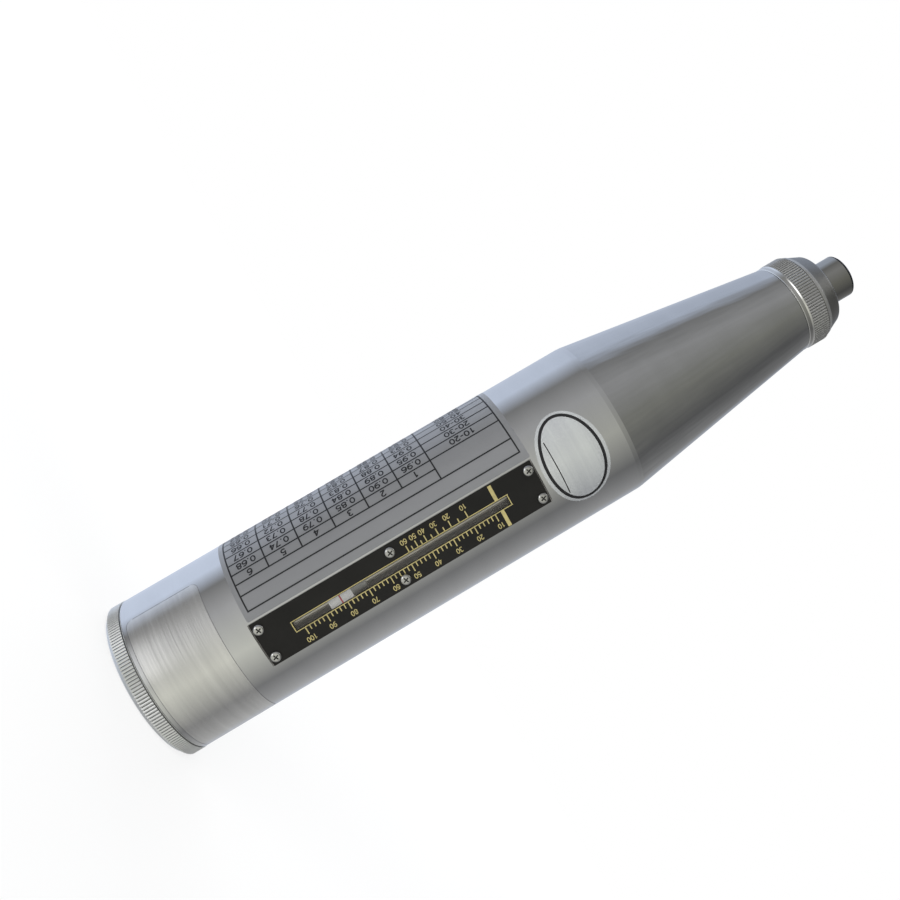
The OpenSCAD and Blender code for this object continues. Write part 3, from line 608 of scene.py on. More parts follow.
def stroked(line, weight):
    """Vertices and faces of a line of that weight with mitred corners, in short steps to follow a curve."""
    points = [np.array(line[0])]
    for a, b in zip(np.array(line), np.array(line)[1:]):
        n = max(1, math.ceil(np.linalg.norm(b - a) / STROKE_STEP))
        points += [a + (b - a) * k / n for k in range(1, n + 1)]
    ways = [(b - a) / np.linalg.norm(b - a) for a, b in zip(points, points[1:])]
    round_trip = np.allclose(points[0], points[-1])
    vertices = []
    for i, point in enumerate(points):
        before = ways[i - 1] if i or round_trip else ways[0]
        after = ways[i] if i < len(ways) else ways[0] if round_trip else ways[-1]
        side = np.array((-before[1] - after[1], before[0] + after[0]))
        side *= weight / max(MITRE_LIMIT, side @ side)
        vertices += [point - side, point + side]
    return vertices, [[2 * i, 2 * i + 2, 2 * i + 3, 2 * i + 1] for i in range(len(ways))]


def glyphs(text, height, wide, weight):
    """Vertices and faces of a number in plain strokes, centred, reading along +u with its top to +v."""
    vertices, faces, along = [], [], 0.0
    for sign in text:
        for line in STROKES[sign]:
            made, quads = stroked([(along + wide * x, y) for x, y in line], weight)
            faces += [[len(vertices) + i for i in quad] for quad in quads]
            vertices += made
        along += wide * ADVANCE.get(sign, DIGIT_ADVANCE)
    points = height * np.array(vertices)
    return points - (points.min(0) + points.max(0)) / 2, faces


def wrapped(radius, across, z):
    """The point on a cylinder at a distance round it from -Y, positive to +X."""
    angle = across / radius
    return (radius * math.sin(angle), -radius * math.cos(angle), z)


class Print:
    """Gathers flat print on the plate or on the barrel as vertices and faces."""

    def __init__(self, place):
        self.place, self.vertices, self.faces = place, [], []

    def add(self, points, faces):
        """Takes in points across and along, and faces on them."""
        first = len(self.vertices)
        self.vertices += [self.place(a, z) for a, z in points]
        self.faces += [[first + i for i in face] for face in faces]

    def bar(self, a0, a1, z0, z1, steps=1):
        """A filled box between two places across and two heights."""
        cuts = np.linspace(a0, a1, steps + 1)
        points = [(a, z) for a in cuts for z in (z0, z1)]
        self.add(points, [[2 * i, 2 * i + 2, 2 * i + 3, 2 * i + 1] for i in range(steps)])

    def rim(self, columns, width):
        """A fine line along the border of a sheet."""
        for (a, a_low, a_high), (b, b_low, b_high) in zip(columns, columns[1:]):
            self.add([(a, a_high - width), (b, b_high - width), (b, b_high), (a, a_high)], [[0, 1, 2, 3]])
            self.add([(a, a_low), (b, b_low), (b, b_low + width), (a, a_low + width)], [[0, 1, 2, 3]])
        for (a, low, high), way in ((columns[0], width), (columns[-1], -width)):
            self.bar(min(a, a + way), max(a, a + way), low, high)

    def text(self, words, height, across, z, wide=1.0, weight=0.145):
        """A number that reads along -Z with its top to +X."""
        points, faces = glyphs(words, height, wide, weight)
        self.add([(across + v, z - u) for u, v in points], faces)

    def mesh(self, name, material):
        """All that was gathered, as one mesh."""
        return mesh_of(name, self.vertices, self.faces, [material])


def sheet_mesh(name, radius, lift, columns, material):
    """A thin sheet on the barrel. Columns are (distance round, low z, high z)."""
    vertices, faces = [], []
    for a, low, high in columns:
        for height, z in ((0, low), (lift, low), (lift, high), (0, high)):
            angle, reach = a / radius, radius + height
            vertices.append((reach * math.sin(angle), -reach * math.cos(angle), z))
    for i in range(len(columns) - 1):
        a, b = 4 * i, 4 * i + 4
        for k in range(3):
            faces.append([a + k, b + k, b + k + 1, a + k + 1])
    last = 4 * (len(columns) - 1)
    faces.append([0, 1, 2, 3])
    faces.append([last + 3, last + 2, last + 1, last])
    return mesh_of(name, vertices, faces, [material])


def rounded_columns(a0, a1, z0, z1, corner, steps):
    """Columns of a sheet with round corners."""
    bend = corner * (1 - np.cos(np.linspace(0, math.pi / 2, 9)))
    cuts = sorted(set(np.round(np.concatenate([np.linspace(a0, a1, steps), a0 + bend, a1 - bend]), 9)))
    made = []
    for a in cuts:
        near = max(0.0, corner - min(a - a0, a1 - a))
        drop = corner - math.sqrt(max(0.0, corner ** 2 - near ** 2))
        made.append((a, z0 + drop, z1 - drop))
    return made


def sizes_of(context):
    """The sizes kept in the scene."""
    return context.scene.hammer_sizes


def colours_of(context):
    """The colours kept in the scene."""
    return context.scene.hammer_colours


class HAMMER_OT_housing(bpy.types.Operator):
    """Makes the barrel and its polished taper, with the flat, the rider's channel and the button's seat"""

    bl_idname = "hammer.housing"
    bl_label = "Housing"

    def execute(self, context):
        s, c = sizes_of(context), colours_of(context)
        # The fourth finish, for the channel and the cuts round the plate's flat, is darkened as painted
        # shade
        finishes = [
            turned_metal("satin_barrel", c.barrel, roughness=0.085, bump=0.035, wave=0.25 * MM),
            turned_metal("polished_taper", c.taper, roughness=0.05, bump=0.012, fine=(6, 6, 1800),
                         wave=0.3 * MM, swells=(180, 180, 9)),
            ground_metal("bore_metal", c.steel, roughness=0.4),
            surface("dark_channel", c.channel, metallic=0.2, roughness=0.5, spread=0.1, fine=(900, 900, 90),
                    coarse=even(60), bump=0.03, tint=0.08)]
        r, rear, front = s.barrel_radius, HOUSING_LOW.z, HOUSING_HIGH.z
        cap_seat, cap_end = 23.5 * MM + SLIP, CAP_HIGH.z + SLIP
        collar, collar_rear, collar_end = SEAT_HIGH.x + SLIP, 222 * MM, 226 * MM + SLIP
        bore, sleeve, spigot = 21 * MM, 11.5 * MM + SLIP, 13.2 * MM
        profile = [
            (cap_seat, rear), (r, rear), (r, s.taper_start - CREASE_LENGTH),
            (r - CREASE_DROP, s.taper_start), (s.taper_end_radius, s.taper_end), (spigot, s.taper_end),
            (spigot, front), (sleeve, front), (sleeve, collar_end), (collar, collar_end),
            (collar, collar_rear), (bore, s.taper_start), (bore, cap_end), (cap_seat, cap_end)]
        mesh = mesh_of("housing_shell", *turned(profile, s.round_steps), finishes)
        mesh = cut_by(mesh, self.cutters(r))
        if len(mesh.polygons) < s.round_steps:
            raise RuntimeError("the housing's cuts left nothing")
        self.true_normals(mesh, s)
        piece("housing_shell", mesh, "housing", ["housing"])
        return {"FINISHED"}

    @staticmethod
    def cutters(r):
        """Closed meshes of all that is cut out: flat, pane's seat, channel, leaf's run and bush's seat."""
        outside, inside, wall = 1.3 * r, 15 * MM, PLATE_HIGH.y
        flat_margin, pane_hair = 0.45 * MM, 0.001 * MM
        channel, channel_low, channel_high = 3 * MM, 50.7 * MM, 139.7 * MM
        leaf_side, leaf_top, leaf_travel, leaf_end = 0.1 * MM, 0.04 * MM, 13.6 * MM, 55 * MM
        made = [
            box_mesh("flat", (-r, -outside, PLATE_LOW.z - flat_margin),
                     (r, wall, PLATE_HIGH.z + flat_margin)),
            box_mesh("pane_seat", (PANE_LOW.x - SLIP, -outside, PANE_LOW.z - SLIP),
                     (PANE_HIGH.x + SLIP, PANE_HIGH.y + pane_hair, PANE_HIGH.z + SLIP)),
            box_mesh("channel", (-channel, -outside, channel_low), (channel, -inside, channel_high)),
            box_mesh("leaf_run", (LEAF_LOW.x - leaf_side, LEAF_LOW.y - leaf_top, LEAF_LOW.z - leaf_travel),
                     (LEAF_HIGH.x + leaf_side, -inside, leaf_end))]
        bush_seat, bush_floor, bush_neck, far = 8.2 * MM, 25.525 * MM, 5.53 * MM, 1.5 * r
        for radius, start in ((bush_seat, bush_floor), (bush_neck, inside)):
            ring = [(0, start), (radius, start), (radius, far), (0, far)]
            made.append(along_y(mesh_of("round_cut", *turned(ring, steps=96), []), BUTTON_HEIGHT))
        return made

    @staticmethod
    def true_normals(mesh, s):
        """Gives the turned outside its exact normals and sorts the faces into their finishes."""
        crease = math.atan2(CREASE_DROP, CREASE_LENGTH)
        slope = math.atan2(s.barrel_radius - CREASE_DROP - s.taper_end_radius, s.taper_end - s.taper_start)
        near, bore_room, flat_y, facing_out = 0.1 * MM, 22 * MM, -15 * MM, 0.9
        crease_start = s.taper_start - CREASE_LENGTH
        normals = [None] * len(mesh.loops)
        for face in mesh.polygons:
            centre = face.center
            out = Vector((centre.x, centre.y, 0))
            reach = out.length
            tilt = None
            if reach > ON_AXIS and face.normal.dot(out / reach) > facing_out:
                if centre.z < crease_start and reach > s.barrel_radius - near:
                    tilt = 0.0
                elif crease_start - near < centre.z < s.taper_start:
                    tilt = crease
                elif s.taper_start < centre.z < s.taper_end and reach > s.taper_end_radius - near:
                    tilt = slope
            inside = reach < bore_room and face.normal.dot(out) < 0
            # Faces of the cuts round the plate's flat and in the rider's channel take the darker channel
            # finish: painted shade
            cut = tilt is None and centre.y < flat_y and PLATE_LOW.z - MM < centre.z < PLATE_HIGH.z + MM
            face.material_index = 1 if tilt == slope else 3 if cut else 2 if inside else 0
            face.use_smooth = True
            for k in face.loop_indices:
                if tilt is None:
                    normals[k] = face.normal
                else:
                    spot = mesh.vertices[mesh.loops[k].vertex_index].co
                    flat = Vector((spot.x, spot.y, 0)).normalized() * math.cos(tilt)
                    normals[k] = (flat.x, flat.y, math.sin(tilt))
        mesh.normals_split_custom_set(normals)


class HAMMER_OT_rear_cap(bpy.types.Operator):
    """Makes the knurled rear cap"""

    bl_idname = "hammer.rear_cap"
    bl_label = "Rear Cap"

    def execute(self, context):
        s, c = sizes_of(context), colours_of(context)
        metal = surface("cap_metal", c.cap, metallic=0.75, roughness=0.34, spread=0.06, fine=TURNED_FINE,
                        coarse=TURNED_COARSE, bump=0.08, tint=0.03)
        # Painted shade for the roots between the cap's ribs
        shade = ground_metal("knurl_groove", c.groove, roughness=0.5)
        tip, root_drop = CAD_BOX[1][0], 0.42 * MM
        land = tip - root_drop
        bevel, bevel_end, rim_end = 25.55 * MM, 1.4 * MM, 5.8 * MM
        spigot, spigot_bore, spigot_end, floor = 23.5 * MM, 21.3 * MM, CAP_HIGH.z, 4 * MM
        boss, boss_end, screw_bore, screw_floor = 6 * MM, 8.5 * MM, 2.5 * MM + SLIP, 2 * MM
        profile = [
            (0, 0), (bevel, 0), (land, bevel_end), (land, rim_end), (spigot, rim_end), (spigot, spigot_end),
            (spigot_bore, spigot_end), (spigot_bore, floor), (boss, floor), (boss, boss_end),
            (screw_bore, boss_end), (screw_bore, screw_floor), (0, screw_floor)]
        body = lathe_mesh("rear_cap_body", profile, s.round_steps, metal, s.edge_radius)
        # The land between the ribs is painted dark: painted shade in the knurl's roots
        shade_low, shade_high, margin = 1.6 * MM, 5.2 * MM, 0.05 * MM
        ribs_low, ribs_high = 1.3 * MM, 5.3 * MM
        shaded(body, shade, shade_low, shade_high, land - margin)
        ribs = knurl_mesh("rear_cap_ribs", s, s.cap_ribs, tip, ribs_low, ribs_high, metal)
        piece("rear_cap_body", body, "housing", ["rear_cap"])
        piece("rear_cap_ribs", ribs, "housing")
        return {"FINISHED"}


class HAMMER_OT_nose_cap(bpy.types.Operator):
    """Makes the nose cap with its bead and knurl"""

    bl_idname = "hammer.nose_cap"
    bl_label = "Nose Cap"

    def execute(self, context):
        s, c = sizes_of(context), colours_of(context)
        metal = turned_metal("nose_metal", c.nose, roughness=0.34, bump=0.14)
        grip = surface("nose_grip", c.nose_knurl, metallic=0.85, roughness=0.32, spread=0.03,
                       fine=TURNED_FINE, coarse=TURNED_COARSE, bump=0.03, tint=0.03)
        # Painted shade for the land between the nose knurl's ribs
        shade = ground_metal("nose_groove", c.nose_groove, roughness=0.5)
        bright = turned_metal("bead_metal", c.bead, roughness=0.14, bump=0.05)
        thread, plunger_bore, root = 13.23, 7.6, 15.5
        rear, bead_end, groove_end, bevel_end, felt_seat, front = 244.4, 246.4, 252.45, 253.7, 255.5, 258.9
        bead = [(thread, rear), (15.42, rear), (15.72, 244.6), (15.56, 245.85), (15.84, 246.25),
                (15.84, bead_end), (thread, bead_end)]
        shell = [(thread, bead_end), (root, bead_end), (root, groove_end), (15.55, 252.5),
                 (15.1, bevel_end), (14.9, 253.8), (13.1, 257.7)]
        shell += arc(11.6, 257.4, 1.5, 15, 90, 6)
        shell += [(plunger_bore, front), (plunger_bore, felt_seat), (thread, felt_seat)]
        bead_edge, shell_edge = 0.05 * MM, 0.12 * MM
        shade_low, shade_high, shade_radius = 246.5 * MM, 252.4 * MM, 15.3 * MM
        highlight_low, highlight_high, highlight_radius = 252.5 * MM, 253.75 * MM, 14 * MM
        ribs_low, ribs_high, ribs_radius = 246.35 * MM, 252.05 * MM, 15.9 * MM
        ring = lathe_mesh("nose_bead", in_mm(bead), s.round_steps, bright, bead_edge)
        body = lathe_mesh("nose_cap_body", in_mm(shell), s.round_steps, metal, shell_edge)
        # The land under the knurl is painted dark: painted shade
        shaded(body, shade, shade_low, shade_high, shade_radius)
        # The chamfer ring in front of the knurl takes the knurl's lighter finish: a painted highlight
        body.materials.append(grip)
        for face in body.polygons:
            if highlight_low < face.center.z < highlight_high and Vector(face.center.xy).length > highlight_radius:
                face.material_index = 2
        ribs = knurl_mesh("nose_cap_ribs", s, s.nose_ribs, ribs_radius, ribs_low, ribs_high, grip)
        piece("nose_cap_body", body, "housing", ["nose_cap"])
        piece("nose_bead", ring, "housing")
        piece("nose_cap_ribs", ribs, "housing")
        return {"FINISHED"}


class HAMMER_OT_plunger(bpy.types.Operator):
    """Makes the plunger with its domed tip"""

    bl_idname = "hammer.plunger"
    bl_label = "Plunger"

    def execute(self, context):
        s, c = sizes_of(context), colours_of(context)
        metal = turned_metal("plunger_steel", c.plunger, roughness=0.07, bump=0.03)
        # Painted dark reflection for the rounded rim of the tip
        dark = ground_metal("plunger_edge", c.tip_edge, roughness=0.3)
        low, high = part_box("plunger")
        r, dome, bevel = high.x, 25 * MM, 0.5 * MM
        bore, bore_end, drill_tip = 4.05 * MM, 222.5 * MM, 224.5 * MM
        rim_length, rim_margin, ring_width, rounding = 0.4 * MM, 0.02 * MM, 0.1 * MM, 0.15 * MM
        edge = r - bevel
        rise = dome - math.sqrt(dome ** 2 - edge ** 2)
        swing = math.degrees(math.asin(edge / dome))
        shoulder = high.z - rise - bevel
        rim = shoulder - rim_length
        profile = [(bore, low.z), (edge, low.z), (r, low.z + bevel), (r, rim), (r, shoulder)]
        profile += arc(0, high.z - dome, dome, 90 - swing, 90, 12)[:-1]
        profile += [(0, high.z), (0, drill_tip), (bore, bore_end)]
        mesh = lathe_mesh("plunger_rod", profile, s.round_steps // 2, metal, rounding)
        # The rim of the tip and a short band below it are painted dark, standing in for a dark reflection
        shaded(mesh, dark, rim + rim_margin, high.z - rise, edge - ring_width)
        piece("plunger_rod", mesh, "plunger", ["plunger"])
        return {"FINISHED"}


class HAMMER_OT_scale_plate(bpy.types.Operator):
    """Makes the black plate with its window, marks and numerals"""

    bl_idname = "hammer.scale_plate"
    bl_label = "Scale Plate"

    def execute(self, context):
        s, c = sizes_of(context), colours_of(context)
        self.plate(c)
        gold = ink("gold_ink", c.gold)
        face_y = PLATE_LOW.y - s.print_lift
        marks_x, short, long = 1.9 * MM, 1.5 * MM, 2.46 * MM
        marks = grown("scale_marks_main", tick_tree(), {
            "Marks": 46, "Start": (marks_x, face_y, s.mark_100 + 90 * s.division),
            "Step": (0.0, 0.0, -2 * s.division), "Short": short, "Long": long, "Every": 5,
            "Width": s.tick_width, "Material": gold})
        piece("scale_marks_main", marks, "housing")
        flat = Print(lambda x, z: (x, face_y, z))
        self.numbers(flat, s)
        self.border(flat)
        piece("scale_print", flat.mesh("scale_print", gold), "housing")
        return {"FINISHED"}

    @staticmethod
    def plate(c):
        """The plate: two sheets of nine fields with the middle one open, and the walls between them."""
        lacquer = surface("black_lacquer", c.plate, metallic=0.0, roughness=0.36, spread=0.08,
                          fine=even(900), coarse=even(70), bump=0.08, tint=0.2)
        shader_of(lacquer).inputs["Specular IOR Level"].default_value = 0.3
        window, window_low, window_high = 1.5 * MM, 52.7 * MM, 128.7 * MM
        xs = [PLATE_LOW.x, -window, window, PLATE_HIGH.x]
        zs = [PLATE_LOW.z, window_low, window_high, PLATE_HIGH.z]
        vertices = [(x, y, z) for y in (PLATE_LOW.y, PLATE_HIGH.y) for z in zs for x in xs]
        across, behind = len(xs), len(xs) * len(zs)
        faces = []
        for i in range(3):
            for k in range(3):
                if (i, k) != (1, 1):
                    a = across * k + i
                    b = a + across
                    faces.append([a, a + 1, b + 1, b])
                    faces.append([a + behind, b + behind, b + behind + 1, a + behind + 1])
        outer, inner = (0, 1, 2, 3, 7, 11, 15, 14, 13, 12, 8, 4), (5, 9, 10, 6)
        for loop in (outer, inner):
            for a, b in zip(loop, loop[1:] + loop[:1]):
                faces.append([b, a, a + behind, b + behind])
        mesh = mesh_of("scale_plate_black", vertices, faces, [lacquer])
        mesh = finished(mesh, ("BEVEL", {"width": 0.09 * MM, "segments": 2, "limit_method": "ANGLE"}),
                        ("WEIGHTED_NORMAL", {"keep_sharp": True}))
        piece("scale_plate_black", mesh, "housing", ["scale_plate"])

    @staticmethod
    def numbers(flat, s):
        """The numerals of the main scale, and the second scale, whose marks draw together."""
        main_x, second_x = 5.95 * MM, -5.6 * MM
        mark_start, short_end, long_end = -1.75 * MM, -3.3 * MM, -4.2 * MM
        for k in range(10, 101, 10):
            flat.text(str(k), s.numeral_height, main_x, s.mark_100 + (100 - k) * s.division)
        second = {60: 94.15, 55: 95.6, 50: 97.3, 45: 98.9, 40: 100.5, 35: 102.5, 30: 104.6, 25: 106.8,
                  20: 109.2, 15: 112.0, 10: 115.1}
        half = s.tick_width / 2
        for k, height in second.items():
            z, numbered = height * MM, k % 10 == 0
            flat.bar(long_end if numbered else short_end, mark_start, z - half, z + half)
            if numbered:
                flat.text(str(k), s.numeral_height, second_x, z)

    @staticmethod
    def border(flat):
        """The line round the window, and the wide bar across the two scales."""
        rim, low, high, line = 1.72 * MM, 52.4 * MM, 129.0 * MM, 0.22 * MM
        lap, end_lap = 0.06 * MM, 0.08 * MM
        flat.bar(-rim - line, -rim + lap, low - line, high + line)
        flat.bar(rim - lap, rim + line, low - line, high + line)
        for z in (low, high):
            flat.bar(-rim, rim, z - line, z + end_lap)
        inner, main_end, second_end = 1.94 * MM, 7.45 * MM, 7.23 * MM
        bar_low, bar_high = 124.7 * MM, 125.9 * MM
        flat.bar(inner, main_end, bar_low, bar_high)
        flat.bar(-second_end, -inner, bar_low, bar_high)


class HAMMER_OT_plate_screws(bpy.types.Operator):
    """Makes the six cross-recessed screws of the plate"""

    bl_idname = "hammer.plate_screws"
    bl_label = "Plate Screws"

    def execute(self, context):
        c = colours_of(context)
        metal = ground_metal("screw_steel", c.screw, roughness=0.14)
        # Painted shade for the cross recesses
        dark = ground_metal("screw_recess", c.groove, roughness=0.5)
        shank, head, crown_end, foot = 0.9, 1.75, 1.1, -3.5
        profile = [(0, foot), (shank, foot), (shank, 0), (head, 0)]
        profile += arc(1.03, 0.38, 0.72, 0, 90, 8)
        profile.append((0, crown_end))
        screw = mesh_of("plate_screw", *turned(in_mm(profile), steps=48), [metal])
        reach, half, floor, over = 0.97 * MM, 0.22 * MM, 0.5 * MM, 2 * MM
        screw = cut_by(screw, [box_mesh("recess", (-x, -y, floor), (x, y, over))
                               for x, y in ((reach, half), (half, reach))])
        screw.shade_smooth()
        screw.set_sharp_from_angle(angle=SHARP_EDGE)
        slant, row_heights, side = math.radians(22), (43.15, 88.975, 138.3), 5.05
        screw.transform(Matrix.Rotation(math.pi / 2, 4, "X") @ Matrix.Rotation(slant, 4, "Z"))
        carrier = shown("one_screw", screw)
        spots = [(x * MM, PLATE_LOW.y, z * MM) for z in row_heights for x in (-side, side)]
        made = grown("plate_screws", fastener_tree(), {"Screw": carrier, "Material": metal}, spots)
        bpy.data.objects.remove(carrier)
        made.materials.append(dark)
        # The recess floors and walls near each screw's middle are painted dark: painted shade
        margin, level = 0.05 * MM, 0.2
        low, rim = floor - margin, (crown_end - 0.01) * MM
        for face in made.polygons:
            rise = PLATE_LOW.y - face.center.y
            off = min(math.hypot(face.center.x - x, face.center.z - z) for x, _, z in spots)
            on_floor, on_side = rise < floor + margin, abs(face.normal.y) < level
            if low < rise < rim and off < MM and (on_floor or on_side):
                face.material_index = 1
        piece("plate_screw_set", made, "housing", ["plate_screws"])
        return {"FINISHED"}


class HAMMER_OT_rider(bpy.types.Operator):
    """Makes the white index with its red line"""

    bl_idname = "hammer.rider"
    bl_label = "Rider"

    def execute(self, context):
        s, c = sizes_of(context), colours_of(context)
        white = surface("index_white", c.index, metallic=0.0, roughness=0.5, spread=0.1, fine=even(1500),
                        coarse=even(200), bump=0.05)
        red = ink("index_red", c.index_line)
        plate = finished(box_mesh("index_plate", INDEX_LOW, INDEX_HIGH),
                         ("BEVEL", {"width": 0.1 * MM, "segments": 2}))
        plate.materials.append(white)
        piece("index_plate", plate, "rider", ["rider_index"])
        reading, half, margin = 68.8 * MM, 0.25 * MM, 0.2 * MM
        line = Print(lambda x, z: (x, INDEX_LOW.y - s.print_lift, z))
        line.bar(INDEX_LOW.x + margin, INDEX_HIGH.x - margin, reading - half, reading + half)
        piece("index_line", line.mesh("index_line", red), "rider")
        return {"FINISHED"}


class HAMMER_OT_table_label(bpy.types.Operator):
    """Makes the silver table label with a ruled grid and plain numbers"""

    bl_idname = "hammer.table_label"
    bl_label = "Table Label"

    def execute(self, context):
        s, c = sizes_of(context), colours_of(context)
        r, lift = s.barrel_radius, s.label_lift
        foil = surface("matt_foil", c.table, metallic=0.25, roughness=0.36, spread=0.06, fine=even(1200),
                       coarse=even(60), bump=0.03, tint=0.04)
        film = shader_of(foil).inputs
        film["Coat Weight"].default_value = 1.0
        film["Coat Roughness"].default_value = 0.25
        film["Coat IOR"].default_value = 1.65
        black = ink("table_ink", c.ink)
        top, side, low, high, corner = -50.0 * MM, -8.45 * MM, 41.3 * MM, 141.1 * MM, 0.6 * MM
        columns = rounded_columns(top, side, low, high, corner, steps=60)
        piece("table_sheet", sheet_mesh("table_sheet", r, lift, columns, foil), "housing")
        ruled = Print(lambda a, z: wrapped(r + lift + s.print_lift, a, z))
        self.fill(ruled, s.table_numeral_height)
        piece("table_print", ruled.mesh("table_print", black), "housing")
        return {"FINISHED"}

    @staticmethod
    def fill(ruled, tall):
        """The grid and its numbers. Rows run along the barrel and columns round it, in millimetres."""
        half, wide, weight = 0.25 * MM, 1.3, 0.2
        near, left, right, head, cell, cells = -11.4, 139.0, 43.1, 114.0, 11.82, 6
        first_row, row_height = -24.3, 4.0
        first_value, step_across, step_down = 0.96, 0.055, 0.01
        rows = [near, -16.6, -20.6, first_row]
        rows += [first_row - row_height * k for k in range(1, cells + 1)]
        far = rows[-1]
        for k, a in enumerate(rows):
            end = head if k == 2 else left
            ruled.bar(a * MM - half, a * MM + half, right * MM - half, end * MM + half)
        for z in [left, head, right] + [right + cell * k for k in range(1, cells)]:
            start = near if z in (left, right) else rows[1] if z == head else rows[2]
            ruled.bar(far * MM - half, start * MM + half, z * MM - half, z * MM + half, steps=24)
        lines = [(a + b) / 2 * MM for a, b in zip(rows[3:], rows[4:])]
        for k in range(cells):
            middle = (head - cell * (k + 0.5)) * MM
            ruled.text(str(k + 1), tall, (rows[2] + rows[3]) / 2 * MM, middle, wide, weight)
            for row, a in enumerate(lines):
                value = first_value - step_across * k - step_down * row
                ruled.text(f"{value:.2f}", tall, a, middle, wide, weight)
        for row, a in enumerate(lines):
            step = 10 * (row + 1)
            ruled.text(f"{step}-{step + 10}", tall, a, (left + head) / 2 * MM, wide, weight)


class HAMMER_OT_plain_labels(bpy.types.Operator):
    """Makes the bare rear label and the bare oval label with its black ring"""

    bl_idname = "hammer.plain_labels"
    bl_label = "Plain Labels"

    def execute(self, context):
        s, c = sizes_of(context), colours_of(context)
        r, lift = s.barrel_radius, s.label_lift
        brushed = surface("brushed_foil", c.foil, metallic=0.95, roughness=0.16, spread=0.08,
                          fine=BRUSHED_FINE, coarse=BRUSHED_COARSE, bump=0.22)
        bright = surface("oval_foil", c.oval, metallic=0.75, roughness=0.18, spread=0.08, fine=BRUSHED_FINE,
                         coarse=BRUSHED_COARSE, bump=0.16)
        side, low, high, corner = 30 * MM, 7.3 * MM, 32.3 * MM, 2.5 * MM
        columns = rounded_columns(-side, side, low, high, corner, steps=90)
        piece("rear_label", sheet_mesh("rear_label", r, lift, columns, brushed), "housing")
        cut = Print(lambda a, z: wrapped(r + lift + s.print_lift, a, z))
        rim_width = 0.12 * MM
        cut.rim(columns, rim_width)
        middle, height, wide, tall = -1.05 * MM, 152.8 * MM, 16.0 * MM, 10.95 * MM
        columns = []
        for t in np.linspace(-math.pi / 2, math.pi / 2, 65)[1:-1]:
            reach = tall * math.cos(t)
            columns.append((middle + wide * math.sin(t), height - reach, height + reach))
        piece("oval_label", sheet_mesh("oval_label", r, lift, columns, bright), "housing")
        piece("label_rims", cut.mesh("label_rims", ink("label_rim", c.rim)), "housing")
        drawn = Print(lambda a, z: wrapped(r + lift + s.print_lift, a, z))
        ring_wide, ring_tall, half = 14.75, 9.35, 0.5
        points = [(middle + (ring_wide + w) * MM * math.cos(t), height + (ring_tall + w) * MM * math.sin(t))
                  for t in np.linspace(0, 2 * math.pi, 97)[:-1] for w in (-half, half)]
        n = len(points)
        drawn.add(points, [[2 * i, 2 * i + 1, (2 * i + 3) % n, (2 * i + 2) % n] for i in range(n // 2)])
        line_start, line_end, line_low, line_high = -10.1 * MM, 8.7 * MM, 146.62 * MM, 146.96 * MM
        drawn.bar(line_start, line_end, line_low, line_high, steps=18)
        piece("oval_print", drawn.mesh("oval_print", ink("oval_ink", c.ink)), "housing")
        return {"FINISHED"}


class HAMMER_OT_button(bpy.types.Operator):
    """Makes the locking button and its bush"""

    bl_idname = "hammer.button"
    bl_label = "Button"

    def execute(self, context):
        s, c = sizes_of(context), colours_of(context)
        plastic = surface("button_plastic", c.button, metallic=0.0, roughness=0.38, spread=0.08,
                          fine=even(1200), coarse=even(150), bump=0.08)
        metal = ground_metal("bush_metal", c.cap, roughness=0.22)
        pin, stem, flange, flange_low, flange_high = 1.9 * MM, 3.5 * MM, 4.2 * MM, 27.525 * MM, 28.725 * MM
        bevel, tip, top = 0.5 * MM, BUTTON_LOW.y, BUTTON_HIGH.y
        dish, dish_start, dish_deep = 2.2 * MM, 0.12 * MM, 0.3 * MM
        knob = [
            (0, tip), (pin - bevel, tip), (pin, tip + bevel), (pin, flange_low), (flange, flange_low),
            (flange, flange_high), (stem, flange_high), (stem, top - bevel), (stem - bevel, top),
            (dish, top - dish_start), (0, top - dish_deep)]
        hole, neck, seat, rim = 1.95 * MM, 5.5 * MM, 25.525 * MM, 8 * MM
        mouth_bore, bore = 3.55 * MM, 4.3 * MM
        mouth, foot = BUSH_HIGH.y, BUSH_LOW.y
        lip, floor = mouth - 0.8 * MM, foot + 1.2 * MM
        collar = [
            (hole, foot), (neck, foot), (neck, seat), (rim, seat), (rim, mouth), (mouth_bore, mouth),
            (mouth_bore, lip), (bore, lip), (bore, floor), (hole, floor)]
        steps = s.round_steps // 2
        for name, profile, finish, edge, body, slot, node in (
                ("button_knob", knob, plastic, 0.2 * MM, "button", "button", "button"),
                ("button_collar", collar, metal, 0.35 * MM, "housing", "bush", "button_bush")):
            mesh = along_y(lathe_mesh(name, profile, steps, finish, edge), BUTTON_HEIGHT)
            piece(name, mesh, body, [node])
        return {"FINISHED"}


